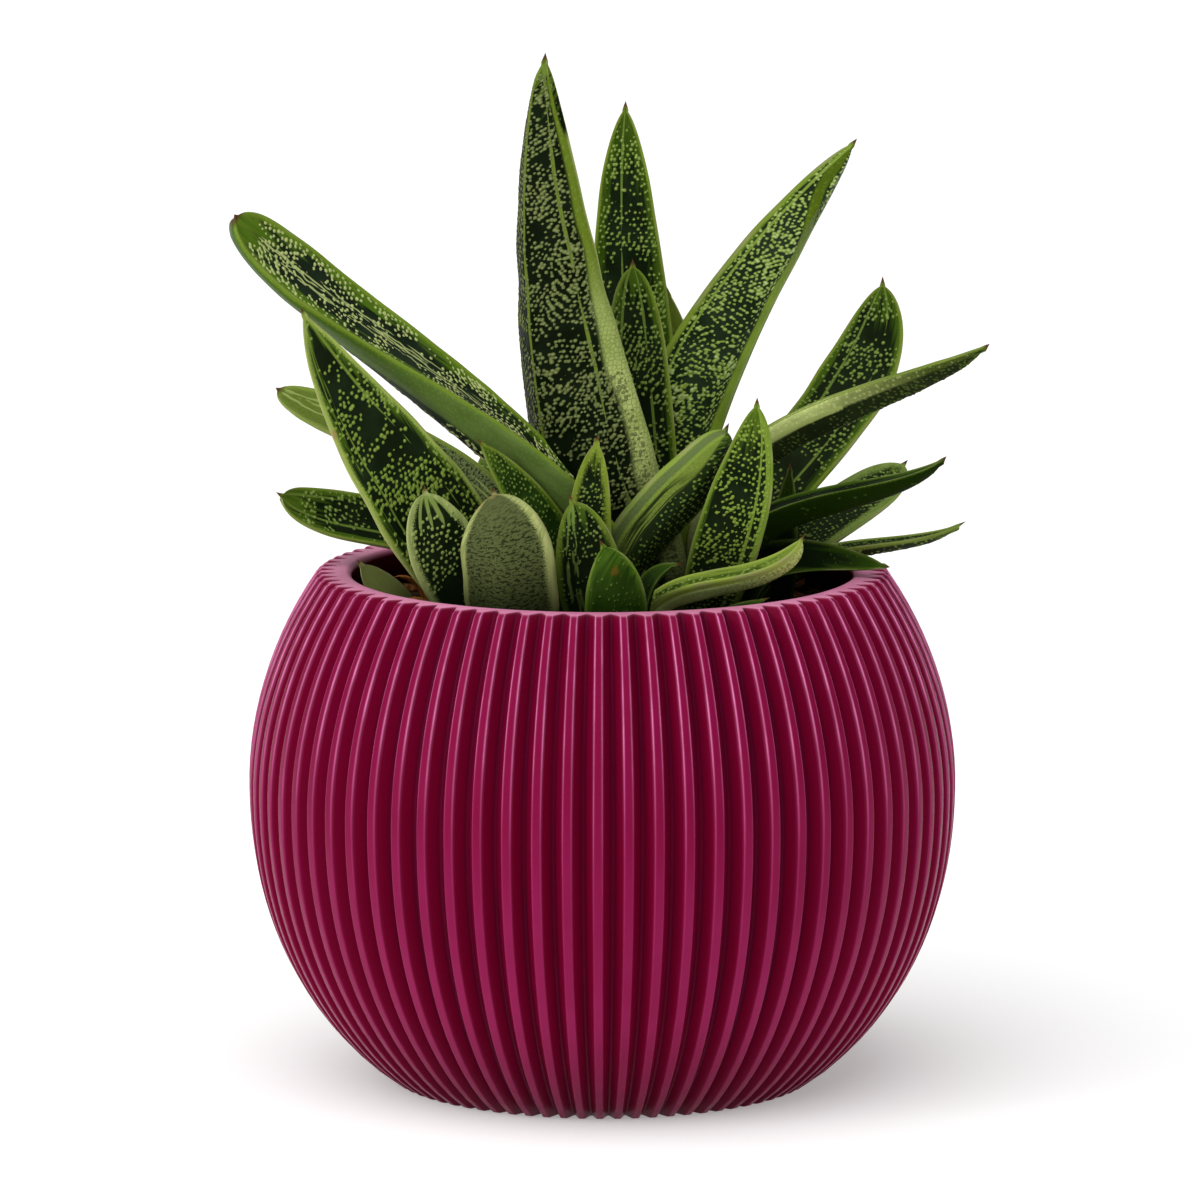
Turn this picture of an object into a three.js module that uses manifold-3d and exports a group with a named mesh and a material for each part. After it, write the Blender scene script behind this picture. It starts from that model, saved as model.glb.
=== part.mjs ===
// A small warty gasteria, a clump of five rosettes, in a ribbed round pot. Millimetres, +Z up, the origin at the
// centre of the pot's foot. The pot is one solid of revolution with ribs, the soil fills it to 9 mm under the rim,
// and every leaf is its own solid that stands in its own hole in the soil.
import * as THREE from "three";
import Module from "manifold-3d";

const wasm = await Module();
wasm.setup();

// Pot: the outline is two half superellipses that meet at the widest height.
const POT_HEIGHT = 116.3;
const POT_RADIUS = 80;
const WIDEST_HEIGHT = 68.6;
const SHOULDER_REACH = 83.2;
const SHOULDER_POWER = 1.92;
const BELLY_REACH = 82.5;
const BELLY_POWER = 2.16;
const WALL = 7.7;
const FLOOR = 6;
const RIB_COUNT = 74;
const RIB_DEPTH = 3.3;
const RIB_CREST = 0.34;
const RIB_VALLEY = 0.14;
const RIB_START_DEG = -90.7;
const FOOT_RING = 41;
const POT_HEIGHTS = [0, 7, 19, 34, 51, WIDEST_HEIGHT, 85, 98.5, 108.5, POT_HEIGHT];
const INSIDE_HEIGHTS = [POT_HEIGHT, 108.5, 96, WIDEST_HEIGHT, 34];

// Soil
const SOIL_LEVEL = 107;
const SOIL_SWELL = 0.9;
const SOIL_SIDES = 32;
const SOIL_RINGS = [20, 42];
const CHIP_COUNT = 9;

// Room kept between two pieces
const CLEAR = 0.32;

// Leaf relief: wart rows stand this high, and each tip ends in a short spine.
const WART_HEIGHT = 0.45;
const SPINE = 2;
const LEAST_HALF = 0.7;

const rad = (deg) => (deg * Math.PI) / 180;

// A repeatable stream of numbers between 0 and 1.
function stream(seed) {
  let state = seed;
  return () => {
    state = (Math.imul(state, 1664525) + 1013904223) >>> 0;
    return state / 4294967296;
  };
}

function solid(points, triangles) {
  const made = new wasm.Manifold(
    new wasm.Mesh({
      numProp: 3,
      vertProperties: new Float32Array(points.flat()),
      triVerts: new Uint32Array(triangles.flat()),
    }),
  );
  if (made.volume() <= 0) throw new Error("a solid is inside out");
  return made;
}

// Joins two rings of points that hold the same number of points. "crossed" turns the diagonal of the squares it
// names, so that a raised corner becomes a bump of its own.
function band(triangles, low, high, count, crossed = () => false) {
  for (let i = 0; i < count; i++) {
    const j = (i + 1) % count;
    if (crossed(i)) triangles.push([low + i, low + j, high + i], [low + j, high + j, high + i]);
    else triangles.push([low + i, low + j, high + j], [low + i, high + j, high + i]);
  }
}

function potRadius(z) {
  const up = z > WIDEST_HEIGHT;
  const reach = up ? SHOULDER_REACH : BELLY_REACH;
  const power = up ? SHOULDER_POWER : BELLY_POWER;
  const part = Math.abs(z - WIDEST_HEIGHT) / reach;
  return POT_RADIUS * (1 - part ** power) ** (1 / power);
}

// The pot: ribbed rings outside, plain rings inside, toothed flat faces at the rim and the foot.
function potSolid() {
  const points = [];
  const triangles = [];
  const period = (2 * Math.PI) / RIB_COUNT;
  const corners = [
    [-RIB_CREST / 2, 0],
    [RIB_CREST / 2, 0],
    [0.5 - RIB_VALLEY / 2, RIB_DEPTH],
    [0.5 + RIB_VALLEY / 2, RIB_DEPTH],
  ];
  const ringStart = [];
  for (const z of POT_HEIGHTS) {
    ringStart.push(points.length);
    for (let rib = 0; rib < RIB_COUNT; rib++) {
      for (const [shift, sunk] of corners) {
        const a = rad(RIB_START_DEG) + (rib + shift) * period;
        const r = potRadius(z) - sunk;
        points.push([r * Math.cos(a), r * Math.sin(a), z]);
      }
    }
  }
  const ribPoints = RIB_COUNT * corners.length;
  for (let k = 0; k + 1 < ringStart.length; k++) band(triangles, ringStart[k], ringStart[k + 1], ribPoints);

  const circle = (r, z) => {
    const start = points.length;
    for (let rib = 0; rib < RIB_COUNT; rib++) {
      const a = rad(RIB_START_DEG) + rib * period;
      points.push([r * Math.cos(a), r * Math.sin(a), z]);
    }
    return start;
  };
  // A flat face between a toothed ring and a plain ring: four corners of each rib meet one plain point.
  const toothed = (ribRing, plain, faceUp) => {
    const put = (a, b, c) => triangles.push(faceUp ? [a, b, c] : [a, c, b]);
    for (let rib = 0; rib < RIB_COUNT; rib++) {
      const first = ribRing + rib * 4;
      const next = ribRing + ((rib + 1) % RIB_COUNT) * 4;
      const here = plain + rib;
      const beside = plain + ((rib + 1) % RIB_COUNT);
      put(first, first + 1, here);
      put(first + 1, first + 2, here);
      put(first + 2, beside, here);
      put(first + 2, first + 3, beside);
      put(first + 3, next, beside);
    }
  };
  const inside = INSIDE_HEIGHTS.map((z) => circle(potRadius(z) - WALL, z));
  inside.push(circle(potRadius(FLOOR) - WALL, FLOOR));
  toothed(ringStart[ringStart.length - 1], inside[0], true);
  for (let k = 0; k + 1 < inside.length; k++) band(triangles, inside[k], inside[k + 1], RIB_COUNT);
  const floorRing = inside[inside.length - 1];
  const middle = points.push([0, 0, FLOOR]) - 1;
  for (let i = 0; i < RIB_COUNT; i++) triangles.push([floorRing + i, floorRing + ((i + 1) % RIB_COUNT), middle]);

  const footRing = circle(FOOT_RING, 0);
  toothed(ringStart[0], footRing, false);
  const under = points.push([0, 0, 0]) - 1;
  for (let i = 0; i < RIB_COUNT; i++) triangles.push([footRing + ((i + 1) % RIB_COUNT), footRing + i, under]);
  return solid(points, triangles);
}

// The soil: it follows the inside of the pot, its top is uneven, and bark chips are fused into the top.
function soilSolid() {
  const random = stream(7);
  const points = [];
  const triangles = [];
  const ring = (r, z, swell) => {
    const start = points.length;
    for (let i = 0; i < SOIL_SIDES; i++) {
      const a = (2 * Math.PI * i) / SOIL_SIDES;
      points.push([r * Math.cos(a), r * Math.sin(a), z + swell * (2 * random() - 1)]);
    }
    return start;
  };
  const sides = [FLOOR + CLEAR, ...INSIDE_HEIGHTS.filter((z) => z < SOIL_LEVEL).reverse(), SOIL_LEVEL];
  const radii = sides.map((z) => potRadius(z) - WALL - 2 * CLEAR);
  const starts = sides.map((z, i) => ring(radii[i], z, i === sides.length - 1 ? SOIL_SWELL / 2 : 0));
  for (let k = 0; k + 1 < starts.length; k++) band(triangles, starts[k], starts[k + 1], SOIL_SIDES);
  let outer = starts[starts.length - 1];
  for (const r of [...SOIL_RINGS].reverse()) {
    const inner = ring(r, SOIL_LEVEL, SOIL_SWELL);
    band(triangles, outer, inner, SOIL_SIDES);
    outer = inner;
  }
  const top = points.push([0, 0, SOIL_LEVEL]) - 1;
  const bottom = points.push([0, 0, sides[0]]) - 1;
  for (let i = 0; i < SOIL_SIDES; i++) {
    const j = (i + 1) % SOIL_SIDES;
    triangles.push([outer + i, outer + j, top], [starts[0] + j, starts[0] + i, bottom]);
  }
  let made = solid(points, triangles);
  for (let i = 0; i < CHIP_COUNT; i++) {
    const a = 2 * Math.PI * random();
    const r = 24 + 31 * random();
    const size = [5 + 5 * random(), 3 + 3 * random(), 2.4 + random()];
    const place = new THREE.Matrix4().makeRotationFromEuler(
      new THREE.Euler(0.5 * random() - 0.25, 0.5 * random() - 0.25, 2 * Math.PI * random()),
    );
    place.setPosition(r * Math.cos(a), r * Math.sin(a), SOIL_LEVEL + 0.4);
    made = made.add(block(size, place));
  }
  return made;
}

function block(size, place) {
  const points = [];
  for (let i = 0; i < 8; i++) {
    const corner = new THREE.Vector3(i & 1 ? 0.5 : -0.5, i & 2 ? 0.5 : -0.5, i & 4 ? 0.5 : -0.5);
    points.push(corner.multiply(new THREE.Vector3(...size)).applyMatrix4(place).toArray());
  }
  const faces = [[0, 2, 3, 1], [4, 5, 7, 6], [0, 1, 5, 4], [2, 6, 7, 3], [0, 4, 6, 2], [1, 3, 7, 5]];
  return solid(points, faces.flatMap(([a, b, c, d]) => [[a, b, c], [a, c, d]]));
}

// A leaf's centre line: the cubic through its four stations, spaced by the distance between them.
function centreLine(path) {
  const stations = path.map((p) => new THREE.Vector3(...p));
  const at = [0];
  for (let i = 1; i < 4; i++) at.push(at[i - 1] + stations[i].distanceTo(stations[i - 1]));
  const length = at[3];
  const share = at.map((d) => d / length);
  const point = (t) => {
    const sum = new THREE.Vector3();
    stations.forEach((p, i) => {
      let weight = 1;
      share.forEach((s, j) => {
        if (j !== i) weight *= (t - s) / (share[i] - s);
      });
      sum.addScaledVector(p, weight);
    });
    return sum;
  };
  return { length, point };
}

// How wide the blade is along its length, as a share of its full width: it swells from the foot to the belly and
// runs from there to the tip.
function spread(leaf, t) {
  if (t < leaf.belly) return leaf.foot + (1 - leaf.foot) * Math.sin((Math.PI / 2) * (t / leaf.belly));
  const q = (t - leaf.belly) / (1 - leaf.belly);
  return Math.max(0, 1 - q ** leaf.taper) ** leaf.round;
}

// One leaf. Across, the upper side is a little hollow and the lower side has a keel; "grow" makes it that much
// larger all round, for the room it needs in its neighbours.
function leafSolid(leaf, grow = 0, plain = false) {
  const { length, point } = centreLine(leaf.path);
  const rings = Math.min(15, Math.max(7, Math.round(length / 8)));
  const across = plain ? 1 : leaf.width > 13 ? 3 : leaf.width > 8 ? 2 : 1;
  const inner = Array.from({ length: 2 * across - 1 }, (_, i) => (across - 1 - i) / across);
  const points = [];
  const triangles = [];
  const side = new THREE.Vector3(-Math.sin(rad(leaf.faces)), Math.cos(rad(leaf.faces)), 0);
  const around = 2 * inner.length + 4;
  const blade = 1 - leaf.spine / length;
  const raised = (row, column) => row > 1 && row < rings - 2 && (row + column) % 2 === 1;
  for (let row = 0; row < rings; row++) {
    const t = blade * (1 - (1 - row / (rings - 1)) ** 1.3);
    const centre = point(t);
    const along = point(t + 1e-3).sub(point(t - 1e-3)).normalize();
    const over = side.clone().addScaledVector(along, -along.dot(side)).normalize();
    const up = along.clone().cross(over);
    const turn = rad(leaf.turn + leaf.twist * t);
    const wide = over.clone().multiplyScalar(Math.cos(turn)).addScaledVector(up, Math.sin(turn));
    const face = up.clone().multiplyScalar(Math.cos(turn)).addScaledVector(over, -Math.sin(turn));
    const f = spread(leaf, t / blade);
    const half = Math.max((leaf.width / 2) * f, LEAST_HALF);
    const deep = Math.min(leaf.thick * (0.2 + 0.8 * Math.sqrt(f)) * (1 - 0.35 * t), 1.6 * half + 0.2);
    const margin = 0.16 * deep;
    const put = (x, v) => {
      const p = centre.clone().addScaledVector(wide, x * half + Math.sign(x) * grow * (Math.abs(x) === 1 ? 1 : 0));
      p.addScaledVector(face, v + Math.sign(v) * grow);
      if (row === 0) p.addScaledVector(along, -grow);
      points.push(p.toArray());
    };
    const wart = (column) => (raised(row, column) ? WART_HEIGHT * Math.min(1, half / 5) : 0);
    put(1, margin);
    inner.forEach((x, i) => put(x, margin - leaf.hollow * deep * (1 - x * x) + wart(i + 1)));
    put(-1, margin);
    put(-1, -margin);
    [...inner].reverse().forEach((x, i) => {
      const keel = x === 0 ? leaf.keel : x < 0 ? x + leaf.keel * (1 + x) : x + leaf.keel * (1 - x);
      const rise = x === 0 ? 1 : 1 - Math.abs(x);
      put(keel, -margin - 0.68 * deep * (0.75 * rise + 0.25 * (1 - keel * keel)) - (x === 0 ? 0 : wart(i + inner.length + 3)));
    });
    put(1, -margin);
  }
  for (let row = 0; row + 1 < rings; row++) {
    band(triangles, row * around, (row + 1) * around, around, (i) => (row + i) % 2 === 1);
  }
  const last = (rings - 1) * around;
  const tip = point(1).addScaledVector(point(1).sub(point(0.99)).normalize(), grow);
  const root = points.push(point(0).addScaledVector(point(0).sub(point(0.01)).normalize(), grow).toArray()) - 1;
  const end = points.push(tip.toArray()) - 1;
  for (let i = 0; i < around; i++) {
    const j = (i + 1) % around;
    triangles.push([j, i, root], [last + i, last + j, end]);
  }
  return solid(points, triangles);
}

const LEAF = {
  thick: 5, turn: 0, twist: 0, keel: 0, hollow: 0.15, belly: 0.35, taper: 1.8, round: 0.65, foot: 0.6, spine: SPINE,
};

// Each leaf: its centre line from the soil to the tip, the way its outer side faces in degrees, and its sizes. The
// order is the order of growth: a leaf is trimmed by the ones before it.
const LEAVES = {
  leaf_centre_tall: {
    path: [[9, -3, 104], [-2.2, -6, 145.3], [-9.6, -12, 186], [-12.6, -22, 235.7]],
    faces: 235, width: 36, thick: 11, keel: -0.45, belly: 0.15, taper: 1.2, round: 0.67, foot: 0.6,
  },
  leaf_centre_second: {
    path: [[12, 19, 104], [10, 20, 130], [6.8, 25, 168], [5.3, 34, 219]],
    faces: 90, width: 18.5, thick: 5, belly: 0.4, taper: 2.2, foot: 0.5,
  },
  leaf_right_high: {
    path: [[11, 13.5, 104], [17.5, 14.5, 148.3], [34, 18, 180.2], [57.8, 24, 211.5]],
    faces: 0, turn: -75, width: 21, thick: 10, keel: 0.3, belly: 0.3, taper: 1.5, foot: 0.5,
  },
  leaf_centre_third: {
    path: [[12.5, 1, 104], [11, 1, 125], [8.6, 1.5, 154], [6.8, 2, 186.8]],
    faces: 90, width: 14.5, thick: 3.4, belly: 0.5, taper: 3.2, round: 0.55, foot: 0.5,
  },
  leaf_left_long: {
    path: [[14, -14, 104], [-6, -15, 138], [-49.8, -18, 173.1], [-82.3, -28, 200.8]],
    faces: 180, turn: 22, twist: -75, width: 16, thick: 14, belly: 0.6, taper: 5.5, round: 0.5, foot: 0.35, spine: 1,
  },
  leaf_right_long: {
    path: [[23, 0, 104], [27, 0, 139.5], [47, -6, 154], [86.2, -20, 170.5]],
    faces: 0, turn: -5, width: 9.5, thick: 13, belly: 0.4, taper: 2,
  },
  leaf_right_upper: {
    path: [[24, 17, 104], [33.5, 20, 125], [50.4, 28, 144.9], [64.3, 40, 178]],
    faces: 75, width: 18, thick: 6, belly: 0.62, taper: 2.8, round: 0.62,
  },
  leaf_right_middle: {
    path: [[26, -8, 104], [33, -8, 128.2], [50.8, -12, 135.8], [76.6, -24, 145.8]],
    faces: 0, turn: 5, width: 9, thick: 8, belly: 0.3, taper: 1.6,
  },
  leaf_front_right: {
    path: [[22, -22, 104], [27, -25, 124], [31.5, -26, 140], [34.4, -26, 159.3]],
    faces: 80, width: 15, thick: 6.5, belly: 0.42, taper: 2,
  },
  leaf_slanting: {
    path: [[2, -17, 104], [9, -17, 127.5], [21.5, -18, 141.8], [28.3, -17, 152.3]],
    faces: 0, turn: -70, width: 14, thick: 8, belly: 0.5, taper: 3.5, round: 0.5,
  },
  leaf_left_spear: {
    path: [[-22, -18, 104], [-39.5, -24, 134.3], [-50.3, -28, 150.5], [-66.4, -38, 181]],
    faces: 180, turn: -65, width: 24, thick: 6.5, belly: 0.35, taper: 1.6, round: 0.8,
  },
  leaf_stubby: {
    path: [[-19, -32, 104], [-20, -36, 114], [-21, -40, 126], [-24.5, -38.5, 141.3]],
    faces: 255, width: 22, thick: 8.5, belly: 0.4, taper: 3, round: 0.55, foot: 0.7,
  },
  leaf_left_front: {
    path: [[-25, -27, 104], [-30, -31, 115], [-35.5, -34, 127], [-39.5, -34, 141]],
    faces: 180, turn: -65, width: 17, thick: 6, belly: 0.5, taper: 2.6, round: 0.55,
  },
  leaf_left_inner: {
    path: [[-5, -20, 104], [-8, -21, 119], [-15.5, -23, 133.5], [-27.8, -26, 150]],
    faces: 180, turn: -50, width: 13, thick: 4.5, belly: 0.4, taper: 1.6,
  },
  leaf_small_pointed: {
    path: [[-1, -25, 104], [-2.8, -25, 118], [-2.8, -25, 132.5], [-1, -24, 150.7]],
    faces: 90, width: 10, thick: 3.6, belly: 0.5, taper: 2,
  },
  leaf_left_back: {
    path: [[-14, 9, 104], [-26, 12, 130.7], [-45.2, 15, 142.7], [-74.5, 24, 154.4]],
    faces: 180, turn: -35, width: 14, thick: 6, belly: 0.5, taper: 4, round: 0.5, spine: 1,
  },
  leaf_left_low: {
    path: [[-24, 14, 104], [-34, 12, 120], [-49.3, 10, 125.4], [-73.8, 4, 133.4]],
    faces: 180, turn: -50, width: 12.5, thick: 5.5, belly: 0.6, taper: 3.5, round: 0.55,
  },
  leaf_right_broad: {
    path: [[37, 14, 104], [43, 15, 117.8], [52.1, 18, 125.4], [69.9, 28, 137.2]],
    faces: 0, turn: 50, width: 13, thick: 5, belly: 0.6, taper: 3, round: 0.55,
  },
  leaf_right_low: {
    path: [[34, 6, 104], [45, 7, 117.5], [61, 9, 121], [82.5, 10, 125.8]],
    faces: 0, turn: 10, width: 6, thick: 4.5, belly: 0.3, taper: 1.6,
  },
  leaf_over_rim_right: {
    path: [[30, -3, 104], [37, -4, 118.5], [49, -7, 120.4], [64.5, -15, 119.3]],
    faces: 0, turn: 60, width: 10, thick: 4, belly: 0.2, taper: 1.5, foot: 0.9,
  },
  leaf_front: {
    path: [[-1, -31, 104], [-2, -32, 112], [-3, -32.5, 121.5], [-7.5, -30, 138.3]],
    faces: 80, width: 15, thick: 4, belly: 0.4, taper: 2.6,
  },
  leaf_front_small: {
    path: [[3, -43, 104], [3, -47, 111], [2.8, -49, 119], [-0.7, -47, 130.8]],
    faces: 270, width: 14, thick: 4, belly: 0.4, taper: 2.4,
  },
  leaf_front_tiny: {
    path: [[8, -33, 104], [8, -35, 113], [11, -36, 120.5], [18.2, -36, 123.5]],
    faces: 0, turn: 30, width: 8, thick: 3.5,
  },
  leaf_curved_pale: {
    path: [[7, -28, 104], [13.5, -30, 116], [28, -33, 120.6], [45, -35, 130.2]],
    faces: 0, turn: 12, width: 6.5, thick: 6.5, belly: 0.5, taper: 4, round: 0.5, foot: 0.8,
  },
  leaf_front_low: {
    path: [[20, -35, 104], [24, -37, 109.5], [30, -39, 113.5], [37.3, -39, 116.5]],
    faces: 0, turn: 20, width: 7, thick: 3.2,
  },
  leaf_rim_left: {
    path: [[-43, -2, 104], [-46.5, -4, 109], [-51, -6, 114.5], [-55.3, -8, 120]],
    faces: 180, turn: -60, width: 9, thick: 3,
  },
  leaf_dark_inner: {
    path: [[40, 2, 104], [40.5, 3, 118], [41.5, 4, 129], [42.5, 5, 140]],
    faces: 60, width: 8, thick: 3.6,
  },
  leaf_centre_fourth: {
    path: [[23, 20, 104], [22.5, 23, 122], [20, 27, 147], [14.6, 30, 177]],
    faces: 60, width: 13, thick: 4.5,
  },
  leaf_back_upright: {
    path: [[13, 27, 104], [16, 31, 124], [19, 36, 146], [20, 41, 165]],
    faces: 80, width: 14, thick: 6,
  },
  leaf_back_leaning: {
    path: [[1, 25, 104], [-1, 30, 122], [-4, 38, 143], [-6, 47, 163]],
    faces: 100, width: 14, thick: 6,
  },
  leaf_back_low_left: {
    path: [[-10, 24, 104], [-17, 33, 117], [-23, 44, 127], [-28, 60, 134]],
    faces: 115, width: 13, thick: 6,
  },
  leaf_back_low_right: {
    path: [[26, 27, 104], [31, 36, 116], [35, 46, 123], [40, 61, 128.5]],
    faces: 65, width: 12, thick: 6,
  },
  leaf_back_middle: {
    path: [[7, 36, 104], [7.5, 42, 115], [7, 51, 124], [6, 63, 131]],
    faces: 90, width: 13, thick: 5.5,
  },
  leaf_back_far_left: {
    path: [[-23, 27, 104], [-30, 33, 114], [-37, 40, 121], [-46, 48, 127]],
    faces: 135, width: 10, thick: 5,
  },
  leaf_back_left_upright: {
    path: [[-8, 31, 104], [-14, 38, 122], [-20, 46, 138], [-27, 54, 150]],
    faces: 110, width: 12, thick: 5,
  },
  leaf_back_right_upright: {
    path: [[31, 27, 104], [37, 34, 120], [42, 42, 133], [47, 50, 143]],
    faces: 55, width: 12, thick: 5,
  },
  leaf_back_small: {
    path: [[20, 38, 104], [23, 43, 114], [25.5, 49, 121.5], [28, 57, 127]],
    faces: 75, width: 9, thick: 4.5,
  },
};

// Dried remains of old leaves: thin curled strips that stand in the soil beside the left rosettes.
const DRY = {
  dry_leaf_left: {
    path: [[-37, 3, 105], [-40, 1, 111], [-43, -1, 114.5], [-47, -2, 115]],
    faces: 200, width: 6, thick: 1.8, hollow: 0, spine: 1,
  },
  dry_leaf_front_left: {
    path: [[-34, -12, 105], [-38, -13, 110], [-42, -14, 112], [-46, -14, 110]],
    faces: 180, width: 5, thick: 1.6, hollow: 0, spine: 1,
  },
};

const COLOURS = { leaf: "#33502b", pale: "#8fa866", pot: "#a8175a", soil: "#3a2a20", dry: "#a5622f" };
const PALE = new Set(["leaf_curved_pale", "leaf_front_tiny"]);

function largest(made) {
  const bodies = made.decompose();
  return bodies.reduce((most, body) => (body.volume() > most.volume() ? body : most));
}

const touches = (a, b) => {
  const p = a.boundingBox();
  const q = b.boundingBox();
  return [0, 1, 2].every((k) => p.min[k] < q.max[k] && q.min[k] < p.max[k]);
};

const solids = new Map();
const rooms = [];
const holes = [];
for (const [name, given] of Object.entries({ ...LEAVES, ...DRY })) {
  const leaf = { ...LEAF, ...given };
  let made = leafSolid(leaf);
  for (const room of rooms) {
    if (touches(made, room)) made = made.subtract(room);
  }
  solids.set(name, largest(made));
  rooms.push(leafSolid(leaf, CLEAR));
  holes.push(leafSolid(leaf, 2 * CLEAR, true));
}
let soil = soilSolid();
for (const hole of holes) soil = soil.subtract(hole);
solids.set("soil", largest(soil));
solids.set("pot", potSolid());

function meshOf(name, made) {
  const { vertProperties, triVerts } = made.getMesh();
  const geometry = new THREE.BufferGeometry();
  geometry.setAttribute("position", new THREE.BufferAttribute(new Float32Array(vertProperties), 3));
  geometry.setIndex(new THREE.BufferAttribute(new Uint32Array(triVerts), 1));
  const kind = name.startsWith("leaf") ? (PALE.has(name) ? "pale" : "leaf") : name.split("_")[0];
  const material = new THREE.MeshStandardMaterial({
    color: COLOURS[kind],
    roughness: kind === "soil" || kind === "dry" ? 0.95 : 0.45,
    metalness: 0,
    flatShading: true,
  });
  const mesh = new THREE.Mesh(geometry, material);
  mesh.name = name;
  return mesh;
}

const plant = new THREE.Group();
for (const [name, made] of solids) plant.add(meshOf(name, made));

export default plant;
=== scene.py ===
# A small warty gasteria in a ribbed raspberry pot. Metres, +Z up, the origin at the centre of the pot's foot.
import math

import bpy
import numpy as np
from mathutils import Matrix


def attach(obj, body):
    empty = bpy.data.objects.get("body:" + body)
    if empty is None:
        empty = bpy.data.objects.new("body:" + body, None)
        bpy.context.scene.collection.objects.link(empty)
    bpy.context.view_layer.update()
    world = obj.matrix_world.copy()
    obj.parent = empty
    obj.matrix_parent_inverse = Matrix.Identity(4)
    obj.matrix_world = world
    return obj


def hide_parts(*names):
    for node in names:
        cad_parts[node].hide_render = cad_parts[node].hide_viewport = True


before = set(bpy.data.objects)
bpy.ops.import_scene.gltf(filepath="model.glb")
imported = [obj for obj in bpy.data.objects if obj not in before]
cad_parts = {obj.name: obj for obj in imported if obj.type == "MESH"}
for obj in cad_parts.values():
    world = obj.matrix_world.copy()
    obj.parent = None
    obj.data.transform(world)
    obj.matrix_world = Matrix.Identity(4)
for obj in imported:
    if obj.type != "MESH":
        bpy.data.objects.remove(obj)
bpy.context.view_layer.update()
mm = 0.001
print("frame loaded:", len(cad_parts), "nodes")


# Camera: the photographed view, a little above the rim, from far enough away that the ribs stay parallel
cameraSetup = {
    "distance": 1.920,
    "elevation": 9.25,
    "target": 0.1163,
    "lens": 255.0,
    "sensor": 36.0,
    "farEnd": 60.0,
    "tiltDown": 0.205,      # degrees, puts the pot where it stands in the photograph
    "swingLeft": 0.016,
}


def makeCamera(setup):
    lift = math.radians(setup["elevation"])
    data = bpy.data.cameras.new("camera")
    data.sensor_width = setup["sensor"]
    data.sensor_fit = "HORIZONTAL"
    data.lens = setup["lens"]
    data.clip_end = setup["farEnd"]
    camera = bpy.data.objects.new("camera", data)
    camera.location = (
        0.0,
        -setup["distance"] * math.cos(lift),
        setup["target"] + setup["distance"] * math.sin(lift),
    )
    camera.rotation_euler = (
        math.radians(90.0 - setup["elevation"] - setup["tiltDown"]),
        0.0,
        math.radians(setup["swingLeft"]),
    )
    bpy.context.scene.collection.objects.link(camera)
    bpy.context.scene.camera = camera


makeCamera(cameraSetup)


# Numbers that repeat: a hash of a cell, and smooth noise between cells
def cellHash(i, j, seed):
    # the fraction left of a large sine of the cell's two numbers
    wave = np.sin(i * 127.1 + j * 311.7 + seed * 74.7) * 43758.5453
    return wave - np.floor(wave)


def smoothNoise(x, y, seed):
    # the four corner hashes of a cell, blended by 3f^2 - 2f^3 of the place in the cell
    i, j = np.floor(x), np.floor(y)
    f, g = x - i, y - j
    f, g = f * f * (3 - 2 * f), g * g * (3 - 2 * g)
    low = cellHash(i, j, seed) * (1 - f) + cellHash(i + 1, j, seed) * f
    high = cellHash(i, j + 1, seed) * (1 - f) + cellHash(i + 1, j + 1, seed) * f
    return low * (1 - g) + high * g


def easeBetween(value, low, high):
    # 0 below low, 1 above high, 3f^2 - 2f^3 between
    f = np.clip((value - low) / (high - low), 0.0, 1.0)
    return f * f * (3 - 2 * f)


# Meshes
def ringQuads(rows, columns):
    # the four corners of each square of a tube of closed rings, outside by the right-hand rule
    row, column = np.meshgrid(np.arange(rows - 1), np.arange(columns), indexing="ij")
    here = row * columns + column
    beside = row * columns + (column + 1) % columns
    return np.stack([here, beside, beside + columns, here + columns], axis=-1).reshape(-1, 4)


def ringFan(start, columns, middle, inward=False):
    # triangles from one closed ring to a middle point
    here = start + np.arange(columns)
    beside = start + (np.arange(columns) + 1) % columns
    third = np.full(columns, middle)
    order = [beside, here, third] if inward else [here, beside, third]
    return np.stack(order, axis=-1)


def tubeFaces(rows, columns):
    # a tube of rings closed by a middle point at each end; the two points come after the rings'
    count = rows * columns
    return [
        ringQuads(rows, columns),
        ringFan(0, columns, count, inward=True),
        ringFan(count - columns, columns, count + 1),
    ]


def makePiece(name, points, faceSets, attributes, material, node):
    # points in millimetres; each face set is an array of corner numbers with 3 or 4 columns
    mesh = bpy.data.meshes.new(name)
    corners = np.concatenate([faces.ravel() for faces in faceSets]).astype(np.int32)
    sizes = np.concatenate([np.full(len(faces), faces.shape[1]) for faces in faceSets])
    starts = np.concatenate([[0], np.cumsum(sizes)[:-1]]).astype(np.int32)
    mesh.vertices.add(len(points))
    mesh.vertices.foreach_set("co", (np.asarray(points) * mm).astype(np.float32).ravel())
    mesh.loops.add(len(corners))
    mesh.loops.foreach_set("vertex_index", corners)
    mesh.polygons.add(len(sizes))
    mesh.polygons.foreach_set("loop_start", starts)
    mesh.polygons.foreach_set("use_smooth", np.full(len(sizes), True))
    for label, values in attributes.items():
        values = np.asarray(values, dtype=np.float32)
        if values.ndim == 2:
            layer = mesh.attributes.new(label, "FLOAT_VECTOR", "POINT")
            layer.data.foreach_set("vector", values.ravel())
        else:
            layer = mesh.attributes.new(label, "FLOAT", "POINT")
            layer.data.foreach_set("value", values)
    mesh.update(calc_edges=True)
    mesh.validate()
    piece = bpy.data.objects.new(name, mesh)
    bpy.context.scene.collection.objects.link(piece)
    mesh.materials.append(material)
    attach(piece, "root")
    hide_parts(node)


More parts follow.
